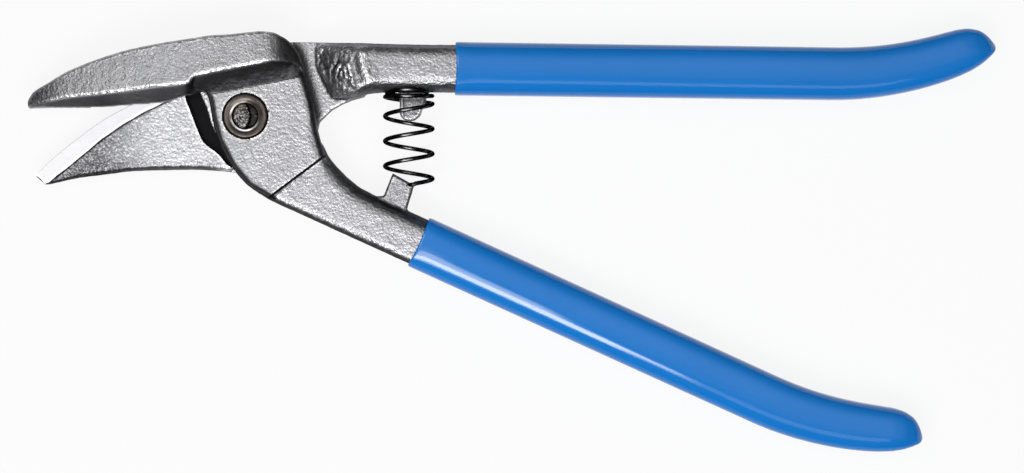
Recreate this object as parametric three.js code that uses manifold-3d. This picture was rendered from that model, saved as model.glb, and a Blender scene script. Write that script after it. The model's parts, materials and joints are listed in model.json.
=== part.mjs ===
// Pelican-pattern tin snips, 250 mm long: two forged halves that turn on one pivot bolt.
// Each half is a jaw and a handle in one piece, and the halves slide past each other on the shear plane.
// Millimetres. The tool lies flat on z = 0. The origin is on the pivot's axis, under the bolt's head.
// +X points to the end of the upper handle, +Y to the upper handle's side of the pivot, +Z up.

import * as THREE from "three";
import { mergeVertices } from "three/addons/utils/BufferGeometryUtils.js";
import Module from "manifold-3d";

const wasm = await Module();
wasm.setup();

// Whole tool
const handleReach = 193.3; // pivot axis to the end of either grip
const handleAngle = 24.5; // degrees from the upper handle down to the lower one
const closingAngle = 19; // degrees that the rear half turns as the tool closes
const midHeight = 6.8; // shear plane above the surface that the tool lies on
const shearGap = 0.2; // between the halves at the shear plane
const plateThickness = 6.2; // each half at the pivot
const plateReach = 20; // pivot axis to the far side of the front plate
const plateEdgeRound = 0.9; // rounding round the front plate's rim

// Upper jaw, part of the front half
const upperJawReach = 56.7; // pivot axis to the tip
const upperJawTop = 22.1; // pivot axis to the top of the jaw
const upperJawDepth = 10.3; // back face to front face
const jawTopRound = 1.9; // rounding along the top of the jaw
const jawRidgeRound = 0.7; // rounding along the ridge over the undercut
const edgeLand = 0.7; // flat behind the upper cutting edge

// Lower jaw, part of the rear half
const lowerJawReach = 54.8; // pivot axis to the tip
const lowerJawDrop = 17.6; // pivot axis down to the lowest point of the tip
const lowerJawThickness = 6.1; // at its root
const stripDrop = 0.6; // ground strip above the forged surface beside it
const lowerJawRound = 1.2; // rounding along the lower side
const pocketDepth = 3.4; // chip pocket in front of the rear hub

// Handles
const mouthReach = 54; // pivot axis to the mouth of each grip, along the handle
const shankWidth = 12.3; // steel at the mouth, in the plane of the tool
const shankThickness = 12; // steel at the mouth, square to that plane
const upperHandleOffset = 12.45; // pivot axis to the middle of the upper shank
const lowerHandleOffset = 11.05; // pivot axis to the middle of the lower shank
const upperHandleFall = 0.77; // degrees by which the upper handle slopes down
const bendReach = 152; // pivot axis to the start of the bend in each handle
const bendRadius = 91; // middle line of the bent end
const gripWall = 0.6; // dipped plastic at the mouth
const gripClearance = 0.2; // between the tang and the dipped plastic
const tangEndGap = 9; // end of the tang to the end of the grip
const seamStep = 0.4; // front plate above the lower shank

// Pivot
const shoulderDiameter = 9;
const threadDiameter = 6.4;
const runningClearance = 0.1; // round the shoulder, all sides
const boltHeadWidth = 11; // across flats
const boltHeadThickness = 2.4;
const headClearance = 0.4; // round the head's corners and above it
const shoulderTop = 9.2; // end of the shoulder, above the underside of the head
const threadEndDrop = 1.2; // bolt's end below the top of the nut
const nutDiameter = 11.1;
const nutStand = 0.5; // nut above the front plate
const nutClearance = 0.35; // round the nut
const nutSeatGap = 0.1; // under the nut
const nutBoreDiameter = 6.9;
const nutChamfer = 0.4;
const nutDish = 0.35; // depth of the dished ring in the nut's face
const stakeDiameter = 1.2; // staked notch that locks the nut to the plate
const stakeDepth = 1;

// Return spring and its two seats
const springReach = 42; // pivot axis to the spring's axis, along X
const springDiameter = 13.4; // outside
const wireDiameter = 1;
const springSeatGap = 0.3; // top coil to the shank
const closedHeight = 2.4; // climb of the closed turns at the top
const springHookDepth = 1.6; // wire's end inside the lower lug
const springBend = 1.3; // radius of the bend into the hook
const hookClearance = 0.25; // round the wire in the lug's hole
const hookEdge = 1.15; // hole's middle below the lug's end
const pegWidth = 7;
const pegLength = 7.3; // below the upper shank
const pegThickness = 3.6;
const pegShift = 1.2; // peg's middle past the spring's axis
const lugWidth = 5.9;
const lugLength = 7.4; // above the lower shank
const lugThickness = 7;
const lugShift = 1.95; // lug's middle short of its hook hole, along the handle

const overrun = 2; // how far a cutting tool passes beyond the surface it cuts
const barSides = 16; // points round a bar's section
const bendSteps = 6; // sections along a handle's bend

// Colours from the finishes: bare forged steel, browned steel, blacked wire, dipped plastic
const forgedSteel = new THREE.MeshStandardMaterial({ color: 0x9a9b9e, metalness: 0.85, roughness: 0.48 });
const brownedSteel = new THREE.MeshStandardMaterial({ color: 0x4a4039, metalness: 0.85, roughness: 0.35 });
const blackWire = new THREE.MeshStandardMaterial({ color: 0x141416, metalness: 0.6, roughness: 0.3 });
const bluePlastic = new THREE.MeshStandardMaterial({ color: 0x2f7cc8, metalness: 0, roughness: 0.28 });

// Heights that follow from the sizes above
const frontBack = midHeight + shearGap;
const plateTop = frontBack + plateThickness;
const rearBottom = midHeight - plateThickness;
const shankLow = midHeight - shankThickness / 2;
const shankHigh = plateTop - seamStep;
const nutTop = plateTop + nutStand;

const degrees = THREE.MathUtils.degToRad;
const point = (x, y) => new THREE.Vector2(x, y);

// Points given as shares of a length along X and a height along Y.
function fromShares(shares, length, height) {
  return shares.map(([along, up]) => point(along * length, up * height));
}

// A smooth line through a few points, in straight steps.
function smooth(points, steps) {
  return new THREE.SplineCurve(points).getPoints(steps);
}

function toSolid(geometry) {
  const bare = geometry.clone();
  bare.deleteAttribute("normal");
  bare.deleteAttribute("uv");
  const merged = mergeVertices(bare, 1e-4);
  return new wasm.Manifold(
    new wasm.Mesh({
      numProp: 3,
      vertProperties: merged.attributes.position.array,
      triVerts: new Uint32Array(merged.index.array),
    }),
  );
}

function toGeometry(solid) {
  const mesh = solid.getMesh();
  const geometry = new THREE.BufferGeometry();
  geometry.setAttribute("position", new THREE.BufferAttribute(mesh.vertProperties, mesh.numProp));
  geometry.setIndex(new THREE.BufferAttribute(mesh.triVerts, 1));
  const flat = geometry.toNonIndexed();
  flat.computeVertexNormals();
  return flat;
}

// A plate from an outline, with its rims rounded when a rounding is given.
function plate(outline, low, high, round = 0) {
  const geometry = new THREE.ExtrudeGeometry(new THREE.Shape(outline), {
    depth: high - low - 2 * round,
    bevelEnabled: round > 0,
    bevelThickness: round,
    bevelSize: round,
    bevelOffset: -round,
    bevelSegments: 2,
  });
  geometry.translate(0, 0, low + round);
  return toSolid(geometry);
}

function post(x, y, radius, low, high, sides = 48) {
  const geometry = new THREE.CylinderGeometry(radius, radius, high - low, sides);
  geometry.rotateX(Math.PI / 2);
  geometry.translate(x, y, (low + high) / 2);
  return toSolid(geometry);
}

// A closed skin over rings that all have the same number of points.
// Each ring runs anticlockwise about the direction from the first ring to the last.
function loft(rings) {
  const sides = rings[0].length;
  const positions = [];
  const faces = [];
  rings.forEach((ring) => ring.forEach((p) => positions.push(p.x, p.y, p.z)));
  for (let r = 0; r + 1 < rings.length; r++) {
    for (let k = 0; k < sides; k++) {
      const a = r * sides + k;
      const b = r * sides + ((k + 1) % sides);
      faces.push(a, b, b + sides, a, b + sides, a + sides);
    }
  }
  [rings[0], rings[rings.length - 1]].forEach((ring, end) => {
    const middle = ring.reduce((sum, p) => sum.add(p), new THREE.Vector3()).divideScalar(sides);
    const hub = positions.length / 3;
    const first = end === 0 ? 0 : (rings.length - 1) * sides;
    positions.push(middle.x, middle.y, middle.z);
    for (let k = 0; k < sides; k++) {
      const a = first + k;
      const b = first + ((k + 1) % sides);
      faces.push(...(end === 0 ? [hub, b, a] : [hub, a, b]));
    }
  });
  const geometry = new THREE.BufferGeometry();
  geometry.setAttribute("position", new THREE.Float32BufferAttribute(positions, 3));
  geometry.setIndex(faces);
  return toSolid(geometry);
}

// A bar's rounded section between two opposite edges, seen along the bar.
// A squareness of 2 gives an ellipse, and a larger one a rectangle with rounded corners.
function barRing(right, left, low, high, squareness) {
  const ring = [];
  const power = (value) => Math.sign(value) * Math.abs(value) ** (2 / squareness);
  const widest = power(Math.cos(Math.PI / barSides));
  for (let k = 0; k < barSides; k++) {
    const turn = (2 * Math.PI * (k + 0.5)) / barSides;
    const across = (1 + power(Math.cos(turn)) / widest) / 2;
    const up = (1 + power(Math.sin(turn)) / widest) / 2;
    ring.push(
      new THREE.Vector3(
        right.x + (left.x - right.x) * across,
        right.y + (left.y - right.y) * across,
        low + (high - low) * up,
      ),
    );
  }
  return ring;
}

// The middle line of a handle: straight, then bent up along an arc. It gives a place and a heading.
function handleLine(offset, fall) {
  const slope = -degrees(fall);
  const straight = bendReach - mouthReach;
  return (reach) => {
    const run = Math.min(reach - mouthReach, straight);
    const turn = Math.max(0, (reach - bendReach) / bendRadius);
    const heading = slope + turn;
    return {
      x: mouthReach + run * Math.cos(slope) + bendRadius * (Math.sin(heading) - Math.sin(slope)),
      y: offset + run * Math.sin(slope) + bendRadius * (Math.cos(slope) - Math.cos(heading)),
      heading,
    };
  };
}

// A bar's section square to a handle's middle line, or to one side of it by a shift.
function handleRing(line, reach, halfWidth, halfThickness, squareness, shift = 0) {
  const { x, y, heading } = line(reach);
  const side = point(-Math.sin(heading), Math.cos(heading));
  const middle = (shankLow + shankHigh) / 2;
  return barRing(
    point(x, y).addScaledVector(side, shift - halfWidth),
    point(x, y).addScaledVector(side, shift + halfWidth),
    middle - halfThickness,
    middle + halfThickness,
    squareness,
  );
}

const shankSquareness = 4.5;
const gripSquareness = 3.2;
// How the grip narrows to its end: share of its length, share of its width there, and how far the
// section has slipped to the lower side, as a share of that width. The end is a drip of the plastic.
const gripTaperShares = [
  [0, 1, 0],
  [0.7, 0.985, 0],
  [0.8, 0.95, 0],
  [0.9, 0.9, 0],
  [0.945, 0.83, 0],
  [0.968, 0.72, -0.02],
  [0.982, 0.52, -0.05],
  [0.989, 0.3, -0.08],
  [0.993, 0.16, -0.1],
  [1, 0.06, -0.115],
];

function gripTaper(share) {
  let k = 1;
  while (gripTaperShares[k][0] < share && k + 1 < gripTaperShares.length) k++;
  const [from, wide] = gripTaperShares[k - 1];
  const [to, narrow] = gripTaperShares[k];
  return wide + ((narrow - wide) * (share - from)) / (to - from);
}

// The grip's length is measured along its bent middle line.
const bendTurn = Math.asin((handleReach - bendReach) / bendRadius);
const gripLength = bendReach - mouthReach + bendRadius * bendTurn;
const bendShare = (bendReach - mouthReach) / gripLength;
const tangShare = 1 - tangEndGap / gripLength;
const shankHalfWidth = shankWidth / 2;
const shankHalfThickness = (shankHigh - shankLow) / 2;
const gripAllowance = gripWall + gripClearance;
const gripHalfWidth = shankHalfWidth + gripAllowance;
const gripHalfThickness = shankHalfThickness + gripAllowance;

// Sections of a grip-shaped bar from the mouth to a share of its length, drawn in from the outside.
function gripRings(line, drawnIn, lastShare, squareness) {
  const shares = [0, bendShare / 2];
  for (let k = 0; k <= bendSteps; k++) shares.push(bendShare + ((lastShare - bendShare) * k) / bendSteps);
  return shares.map((share) =>
    handleRing(
      line,
      mouthReach + share * gripLength,
      gripHalfWidth * gripTaper(share) - drawnIn,
      gripHalfThickness * gripTaper(share) - drawnIn,
      squareness,
    ),
  );
}

function tangRings(line) {
  return gripRings(line, gripAllowance, tangShare, shankSquareness);
}

// The dipped plastic: a closed-ended sleeve round the tang.
function grip(line) {
  const drip = gripTaperShares.slice(-5);
  const tip = drip.map(([share, shrink, slip]) =>
    handleRing(
      line,
      mouthReach + share * gripLength,
      gripHalfWidth * shrink,
      gripHalfThickness * shrink,
      gripSquareness,
      2 * gripHalfWidth * slip,
    ),
  );
  const bodyShare = gripTaperShares[gripTaperShares.length - drip.length - 1][0];
  const outside = loft([...gripRings(line, 0, bodyShare, gripSquareness), ...tip]);
  const bore = gripRings(line, gripWall, tangShare + gripClearance / gripLength, shankSquareness);
  const mouth = handleRing(
    line,
    mouthReach - overrun,
    shankHalfWidth + gripClearance,
    shankHalfThickness + gripClearance,
    shankSquareness,
  );
  return outside.subtract(loft([mouth, ...bore]));
}

const upperLine = handleLine(upperHandleOffset, upperHandleFall);
const lowerLine = handleLine(-lowerHandleOffset, 0);

// Turns a solid clockwise round the pivot, and then moves it down in the plane of the tool.
function turned(solid, angle, down = 0) {
  const geometry = toGeometry(solid);
  geometry.rotateZ(-degrees(angle));
  geometry.translate(0, -down, 0);
  return toSolid(geometry);
}

// The lower handle's pieces are drawn along +X.
const onLowerHandle = (solid) => turned(solid, handleAngle);

// Upper jaw: shares of its reach along X, then of its top for the top, the ridge and the foot,
// then of its depth for the front face and the foot. The foot is the cutting edge left of the step,
// and right of it the wall's foot, which the front plate meets.
const upperJawShares = [
  [-1, 0.2, 0.135, 0.104, 0.2, 0],
  [-0.977, 0.281, 0.135, 0.104, 0.3, 0],
  [-0.952, 0.328, 0.14, 0.104, 0.38, 0],
  [-0.903, 0.403, 0.155, 0.106, 0.48, 0],
  [-0.811, 0.538, 0.203, 0.108, 0.62, 0],
  [-0.67, 0.681, 0.242, 0.113, 0.76, 0],
  [-0.529, 0.787, 0.303, 0.14, 0.87, 0],
  [-0.388, 0.86, 0.357, 0.167, 0.94, 0],
  [-0.265, 0.91, 0.405, 0.25, 0.98, 0.01],
  [-0.23, 0.925, 0.484, 0.27, 1, 0.23],
  [-0.15, 0.955, 0.52, 0.235, 1, 0.43],
  [-0.072, 0.966, 0.57, 0.275, 1, 0.43],
  [0.086, 1, 0.652, 0.36, 1, 0.43],
  [0.132, 0.98, 0.665, 0.385, 0.97, 0.43],
  [0.176, 0.923, 0.65, 0.41, 0.9, 0.43],
  [0.215, 0.837, 0.605, 0.435, 0.8, 0.43],
  [0.247, 0.71, 0.56, 0.455, 0.7, 0.43],
  [0.266, 0.55, 0.505, 0.475, 0.58, 0.41],
];

function upperJaw() {
  const rings = upperJawShares.map(([along, topShare, ridgeShare, footShare, faceShare, landShare]) => {
    const x = along * upperJawReach;
    const top = topShare * upperJawTop;
    const ridge = ridgeShare * upperJawTop;
    const foot = footShare * upperJawTop;
    const face = faceShare * upperJawDepth;
    const land = landShare * upperJawDepth + edgeLand;
    const topRound = Math.min(jawTopRound, (top - ridge) / 4, face / 4);
    const ridgeRound = Math.min(jawRidgeRound, (top - ridge) / 4, face / 4);
    return [
      [top, 0],
      [top, face - 2 * topRound],
      [top - topRound / 4, face - topRound],
      [top - topRound, face - topRound / 4],
      [top - 2 * topRound, face],
      [ridge + 2 * ridgeRound, face],
      [ridge + ridgeRound / 2, face - ridgeRound / 4],
      [ridge, face - ridgeRound],
      [foot, Math.min(land, face / 2)],
      [foot, 0],
    ].map(([y, rise]) => new THREE.Vector3(x, y, frontBack + rise));
  });
  return loft(rings);
}

// Front plate: its left side from the jaw down to the seam, and its right side from the seam back up.
const plateLeftShares = [
  [-0.425, 0.275],
  [-0.405, 0],
  [-0.335, -0.305],
  [-0.175, -0.635],
  [0.04, -0.9],
  [0.325, -1.07],
];
const plateRightShares = [
  [1.025, -0.51],
  [0.93, -0.2],
  [0.89, 0.07],
  [0.84, 0.275],
  [0.755, 0.57],
];
// Where the plate runs on inside the jaw.
const plateTopShares = [
  [0.6, 0.68],
  [-0.375, 0.44],
];

function frontPlate() {
  const outline = [
    ...smooth(fromShares(plateLeftShares, plateReach, plateReach), 16),
    ...smooth(fromShares(plateRightShares, plateReach, plateReach), 12),
    ...fromShares(plateTopShares, plateReach, plateReach),
  ];
  return plate(outline, frontBack, plateTop, plateEdgeRound);
}

// Lower shank, along its own handle: share of the mouth's reach, then of the width on the inner side
// and on the outer side of the handle's middle line.
const lowerShankShares = [
  [0.2, 1.65, -0.46],
  [0.29, 1.4, -0.5],
  [0.345, 1.16, -0.5],
  [0.4, 0.98, -0.5],
  [0.435, 0.85, -0.5],
  [0.5, 0.71, -0.5],
  [0.575, 0.59, -0.5],
  [0.65, 0.52, -0.5],
  [0.8, 0.5, -0.5],
];

function lowerShank() {
  const rings = lowerShankShares.map(([along, inner, outer]) => {
    const x = along * mouthReach;
    return barRing(
      point(x, -lowerHandleOffset + outer * shankWidth),
      point(x, -lowerHandleOffset + inner * shankWidth),
      shankLow,
      shankHigh,
      shankSquareness,
    );
  });
  return onLowerHandle(loft([...rings, ...tangRings(lowerLine)]));
}

// The spring's hook hole in the lower lug lies on the spring's axis, as the handles stand at rest.
const lugEnd = -lowerHandleOffset + shankHalfWidth + lugLength;
const hookLine = lugEnd - hookEdge;
const hookAlong = (springReach - hookLine * Math.sin(degrees(handleAngle))) / Math.cos(degrees(handleAngle));
const hook = point(hookAlong, hookLine).rotateAround(point(0, 0), -degrees(handleAngle));
const springRadius = (springDiameter - wireDiameter) / 2;

// Lug shares: across its width, then up its length. The last ones run on into the shank.
const lugShares = [
  [-0.5, 1],
  [0.5, 1],
  [0.55, 0.1],
  [0.85, -0.15],
  [0.85, -0.4],
  [-1, -0.4],
  [-1, -0.06],
  [-0.6, 0.14],
];

function lowerLug() {
  const middle = hookAlong - lugShift;
  const foot = lugEnd - lugLength;
  const outline = lugShares.map(([across, up]) => point(middle + across * lugWidth, foot + up * lugLength));
  const low = midHeight - lugThickness / 2;
  return onLowerHandle(plate(outline, low, low + lugThickness));
}

// Peg shares: across its width, then down its length. The first and last ones run on into the shank.
const pegShares = [
  [-0.5, -0.3],
  [-0.46, 0.8],
  [-0.35, 0.94],
  [-0.17, 1],
  [0.05, 0.97],
  [0.24, 0.82],
  [0.5, 0.12],
  [0.5, -0.3],
];

const pegFoot = upperLine(springReach).y - shankHalfWidth;

function upperPeg() {
  const middle = springReach + pegShift;
  const outline = pegShares.map(([across, down]) => point(middle + across * pegWidth, pegFoot - down * pegLength));
  const low = midHeight - pegThickness / 2;
  return plate(outline, low, low + pegThickness);
}

// The rear hub turns inside this radius below the shear plane, and the front plate above it.
const hubReach = 18.7; // pivot axis to the far side of the rear hub
const swingClearance = 0.9; // from either hub to the other half's handle
const plateCornerReach = 20.9; // pivot axis to the corner of the front plate that swings past the upper shank
const neckClearance = 0.4; // from the neck of the closed rear hub to the lower shank
const rearSwing = hubReach + swingClearance;
const frontSwing = plateCornerReach + swingClearance / 2;

const shoulderBore = shoulderDiameter / 2 + runningClearance;
const nutSeat = shoulderTop;

function frontForging() {
  const hubRoom = post(0, 0, rearSwing, shankLow - overrun, frontBack);
  const neckRoom = turned(rearHub(frontBack), closingAngle, neckClearance);
  return frontPlate()
    .add(upperJaw())
    .add(lowerShank().subtract(hubRoom).subtract(neckRoom))
    .add(lowerLug())
    .subtract(post(0, 0, shoulderBore, frontBack - overrun, plateTop))
    .subtract(post(0, 0, nutDiameter / 2 + nutClearance, nutSeat, plateTop + overrun))
    .subtract(stakeNotch())
    .subtract(post(hook.x, hook.y, wireDiameter / 2 + hookClearance, rearBottom - overrun, nutTop, 16));
}

// The staked notch is half in the plate and half in the nut.
function stakeNotch() {
  const edge = (nutDiameter + nutClearance) / 2;
  return post(edge, 0, stakeDiameter / 2, plateTop - stakeDepth, nutTop + overrun, 16);
}

// Lower jaw: share of its reach along X, then shares of its drop for the cutting edge, the inner side
// of the ground strip and the lower side, then the share of its thickness.
const lowerJawShares = [
  [-1, -0.86, -0.87, -0.885, 0.4],
  [-0.98, -0.795, -0.91, -0.935, 0.48],
  [-0.957, -0.72, -0.985, -1, 0.5],
  [-0.898, -0.557, -0.858, -0.966, 0.56],
  [-0.803, -0.318, -0.625, -0.903, 0.66],
  [-0.684, -0.051, -0.318, -0.855, 0.78],
  [-0.547, 0.18, -0.034, -0.801, 0.9],
  [-0.403, 0.36, 0.199, -0.784, 1],
  [-0.265, 0.51, 0.38, -0.778, 1],
  [-0.122, 0.6, 0.5, -0.801, 1],
  [-0.03, 0.6, 0.5, -0.828, 1],
];
const stripWall = 0.4; // slope from the ground strip down to the forged surface
const edgeRelief = 1.2; // how far the lower jaw's outer side leans in below its cutting edge

function lowerJaw() {
  const rings = lowerJawShares.map(([along, edgeShare, stripShare, lowShare, thicknessShare]) => {
    const x = along * lowerJawReach;
    const edge = edgeShare * lowerJawDrop;
    const strip = stripShare * lowerJawDrop;
    const side = lowShare * lowerJawDrop;
    const bottom = midHeight - thicknessShare * lowerJawThickness;
    const forged = midHeight - stripDrop;
    const wall = Math.min(stripWall, (strip - side) / 4);
    const round = Math.min(lowerJawRound, (strip - side) / 3, (forged - bottom) / 3);
    const relief = Math.min(edgeRelief, (edge - side) / 4);
    return [
      [edge, midHeight],
      [strip, midHeight],
      [strip - wall, forged],
      [side + round, forged],
      [side + round / 4, forged - round / 4],
      [side, forged - round],
      [side, bottom + round],
      [side + round / 4, bottom + round / 4],
      [side + round, bottom],
      [edge - relief, bottom],
    ].map(([y, z]) => new THREE.Vector3(x, y, z));
  });
  return loft(rings);
}

// Rear hub: shares of its reach, from the lower jaw round the right side and the hidden top.
const hubShares = [
  [-0.225, -0.76],
  [0.16, -0.834],
  [0.455, -0.797],
  [0.72, -0.636],
  [0.91, -0.39],
  [0.997, -0.07],
];
const hubTopShares = [
  [0.21, 0.99],
  [-0.21, 0.9],
  [-0.53, 0.72],
  [-0.73, 0.48],
];
// The hub's left side, which is also the right side of the chip pocket.
const hubLeftShares = [
  [-0.65, 0.33],
  [-0.565, 0.14],
  [-0.497, -0.086],
  [-0.428, -0.25],
  [-0.246, -0.524],
  [-0.14, -0.67],
];
const pocketLeftShares = [
  [-0.225, -0.71],
  [-0.305, -0.642],
  [-0.4, -0.524],
  [-0.567, -0.396],
  [-0.652, -0.283],
  [-0.79, 0.07],
  [-0.866, 0.273],
  [-0.85, 0.4],
  [-0.7, 0.43],
];

// Upper shank, along X: share of the mouth's reach, then its lower and upper side in shares of its width
// from its middle line, then its height above the shear plane as a share of the full one.
const upperShankShares = [
  [0.326, -0.02, 0.53, 0.2],
  [0.37, -0.33, 0.53, 0.45],
  [0.42, -0.66, 0.53, 0.72],
  [0.5, -0.66, 0.53, 0.9],
  [0.6, -0.545, 0.52, 1],
  [0.7, -0.51, 0.515, 1],
  [0.85, -0.5, 0.505, 1],
];
// The hub's neck under the upper shank: its lower side, then back along its upper side.
const hubNeckShares = [
  [0.402, -0.875],
  [0.45, -0.75],
  [0.498, -0.66],
  [0.565, -0.58],
  [0.565, 0.54],
  [0.22, 0.54],
];

function upperShank() {
  const rings = upperShankShares.map(([along, lower, upper, rise]) => {
    const x = along * mouthReach;
    const middle = upperHandleOffset + (1 - along) * mouthReach * Math.tan(degrees(upperHandleFall));
    return barRing(
      point(x, middle + lower * shankWidth),
      point(x, middle + upper * shankWidth),
      shankLow,
      midHeight + rise * (shankHigh - midHeight),
      shankSquareness,
    );
  });
  return loft([...rings, ...tangRings(upperLine)]);
}

function rearHub(high = midHeight) {
  const neck = hubNeckShares.map(([along, across]) =>
    point(along * mouthReach, upperHandleOffset + across * shankWidth),
  );
  const outline = [
    ...smooth(fromShares(hubShares, hubReach, hubReach), 14),
    ...neck,
    ...smooth(fromShares(hubTopShares, hubReach, hubReach), 10),
    ...fromShares(hubLeftShares, hubReach, hubReach),
  ];
  return plate(outline, rearBottom, high);
}

function chipPocket() {
  const outline = [
    ...fromShares(hubLeftShares, hubReach, hubReach).reverse(),
    ...fromShares(pocketLeftShares, hubReach, hubReach).reverse(),
  ];
  return plate(outline.reverse(), midHeight - pocketDepth, midHeight + overrun);
}

const headCorner = boltHeadWidth / 2 / Math.cos(Math.PI / 6);

function rearForging() {
  const plateRoom = post(0, 0, frontSwing, midHeight, nutTop + overrun);
  const headRoom = post(0, 0, headCorner + headClearance, -overrun, boltHeadThickness + headClearance);
  return upperShank()
    .subtract(plateRoom)
    .add(rearHub())
    .add(lowerJaw())
    .add(upperPeg())
    .subtract(chipPocket())
    .subtract(headRoom)
    .subtract(post(0, 0, shoulderBore, 0, midHeight + overrun));
}

// Shoulder bolt: a hexagon head under the rear plate, a smooth shoulder and a threaded end in the nut.
function pivotBolt() {
  const profile = [
    [0, boltHeadThickness / 2],
    [shoulderDiameter / 2, boltHeadThickness / 2],
    [shoulderDiameter / 2, shoulderTop],
    [threadDiameter / 2, shoulderTop],
    [threadDiameter / 2, nutTop - threadEndDrop],
    [0, nutTop - threadEndDrop],
  ].map(([r, z]) => point(r, z));
  const stem = new THREE.LatheGeometry(profile, 48);
  stem.rotateX(Math.PI / 2);
  return toSolid(stem).add(post(0, 0, headCorner, 0, boltHeadThickness, 6));
}

function pivotNut() {
  const bottom = nutSeat + nutSeatGap;
  const outer = nutDiameter / 2;
  const bore = nutBoreDiameter / 2;
  const dish = (outer + bore) / 2;
  const profile = [
    [bore, bottom],
    [outer, bottom],
    [outer, nutTop - nutChamfer],
    [outer - nutChamfer, nutTop],
    [dish + nutDish, nutTop],
    [dish - nutDish, nutTop - nutDish],
    [bore + nutChamfer, nutTop - nutDish],
    [bore, nutTop - nutDish - nutChamfer],
    [bore, bottom],
  ].map(([r, z]) => point(r, z));
  const ring = new THREE.LatheGeometry(profile, 48);
  ring.rotateX(Math.PI / 2);
  return toSolid(ring).subtract(stakeNotch());
}

// Return spring, a right-hand coil on an axis along Y. It starts at the front of the coil, over the
// lower lug's hole, and ends at the back of the closed top turns.
const stepsPerTurn = 8;
const openTurns = 3.25;
const closedTurns = 1.25;
const coilTop = pegFoot - springSeatGap - wireDiameter / 2;
const openHeight = coilTop - closedHeight - hook.y;

function springPoint(turns) {
  const angle = 2 * Math.PI * turns;
  const closing = Math.max(0, turns - openTurns) / closedTurns;
  const climb = (openHeight * Math.min(turns, openTurns)) / openTurns + closedHeight * closing * (2 - closing);
  return new THREE.Vector3(
    springReach + springRadius * Math.sin(angle),
    hook.y + climb,
    midHeight + springRadius * Math.cos(angle),
  );
}

function springRoute() {
  const front = midHeight + springRadius;
  const lugFace = midHeight + lugThickness / 2;
  const points = [
    new THREE.Vector3(springReach, hook.y, lugFace - springHookDepth),
    new THREE.Vector3(springReach, hook.y, lugFace),
    new THREE.Vector3(springReach, hook.y, front - springBend),
  ];
  const firstTurn = springBend / (2 * Math.PI * springRadius);
  const coilSteps = Math.round((openTurns + closedTurns) * stepsPerTurn);
  points.push(springPoint(firstTurn));
  for (let k = 1; k <= coilSteps; k++) points.push(springPoint(k / stepsPerTurn));
  const last = points[points.length - 1];
  points.push(new THREE.Vector3(last.x - wireDiameter, last.y, last.z));
  return points;
}

// The least space between two stretches of the wire that lie over half a turn apart.
function leastSpringGap() {
  const fine = 6 * stepsPerTurn;
  const turns = openTurns + closedTurns;
  const places = [];
  for (let k = 0; k <= turns * fine; k++) places.push(springPoint(k / fine));
  let least = Infinity;
  for (let i = 0; i < places.length; i++)
    for (let j = i + fine / 2; j < places.length; j++) least = Math.min(least, places[i].distanceTo(places[j]));
  return least - wireDiameter;
}

// A tube of five sides, with one ring at each point of its route.
function wireTube(points) {
  const sides = 5;
  const radius = wireDiameter / 2;
  let across = new THREE.Vector3(1, 0, 0);
  const rings = points.map((p, k) => {
    const before = points[Math.max(k - 1, 0)];
    const after = points[Math.min(k + 1, points.length - 1)];
    const ahead = after.clone().sub(before).normalize();
    across = across.clone().addScaledVector(ahead, -across.dot(ahead)).normalize();
    const other = ahead.clone().cross(across);
    const ring = [];
    for (let s = 0; s < sides; s++) {
      const turn = (2 * Math.PI * s) / sides;
      ring.push(
        p
          .clone()
          .addScaledVector(across, radius * Math.cos(turn))
          .addScaledVector(other, radius * Math.sin(turn)),
      );
    }
    return ring;
  });
  return loft(rings);
}

console.log(`return_spring: least gap to itself ${leastSpringGap().toFixed(2)} mm`);

function piece(name, solid, material) {
  const mesh = new THREE.Mesh(toGeometry(solid), material);
  mesh.name = name;
  return mesh;
}

const frontHalf = new THREE.Group();
frontHalf.add(
  piece("front_forging", frontForging(), forgedSteel),
  piece("pivot_bolt", pivotBolt(), brownedSteel),
  piece("pivot_nut", pivotNut(), brownedSteel),
  piece("lower_grip", onLowerHandle(grip(lowerLine)), bluePlastic),
  piece("return_spring", wireTube(springRoute()), blackWire),
);

const rearHalf = new THREE.Group();
rearHalf.add(
  piece("rear_forging", rearForging(), forgedSteel),
  piece("upper_grip", grip(upperLine), bluePlastic),
);

const tinSnips = new THREE.Group();
tinSnips.add(frontHalf, rearHalf);

export default tinSnips;
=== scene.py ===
# %% [markdown]
# Tin snips, dressed around a measured frame.
# The frame is the CAD model: it fixes every size and every motion. This script builds the visible
# pieces on top of it: two forged halves, a nut and bolt, a coil spring and two dipped grips.
# Each cell below makes one thing, and the note before it says what that thing is and why it is made so.

# %% Load the frame
import json
import math

import bmesh
import bpy
import numpy as np
from mathutils import Matrix, Vector, noise

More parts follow.
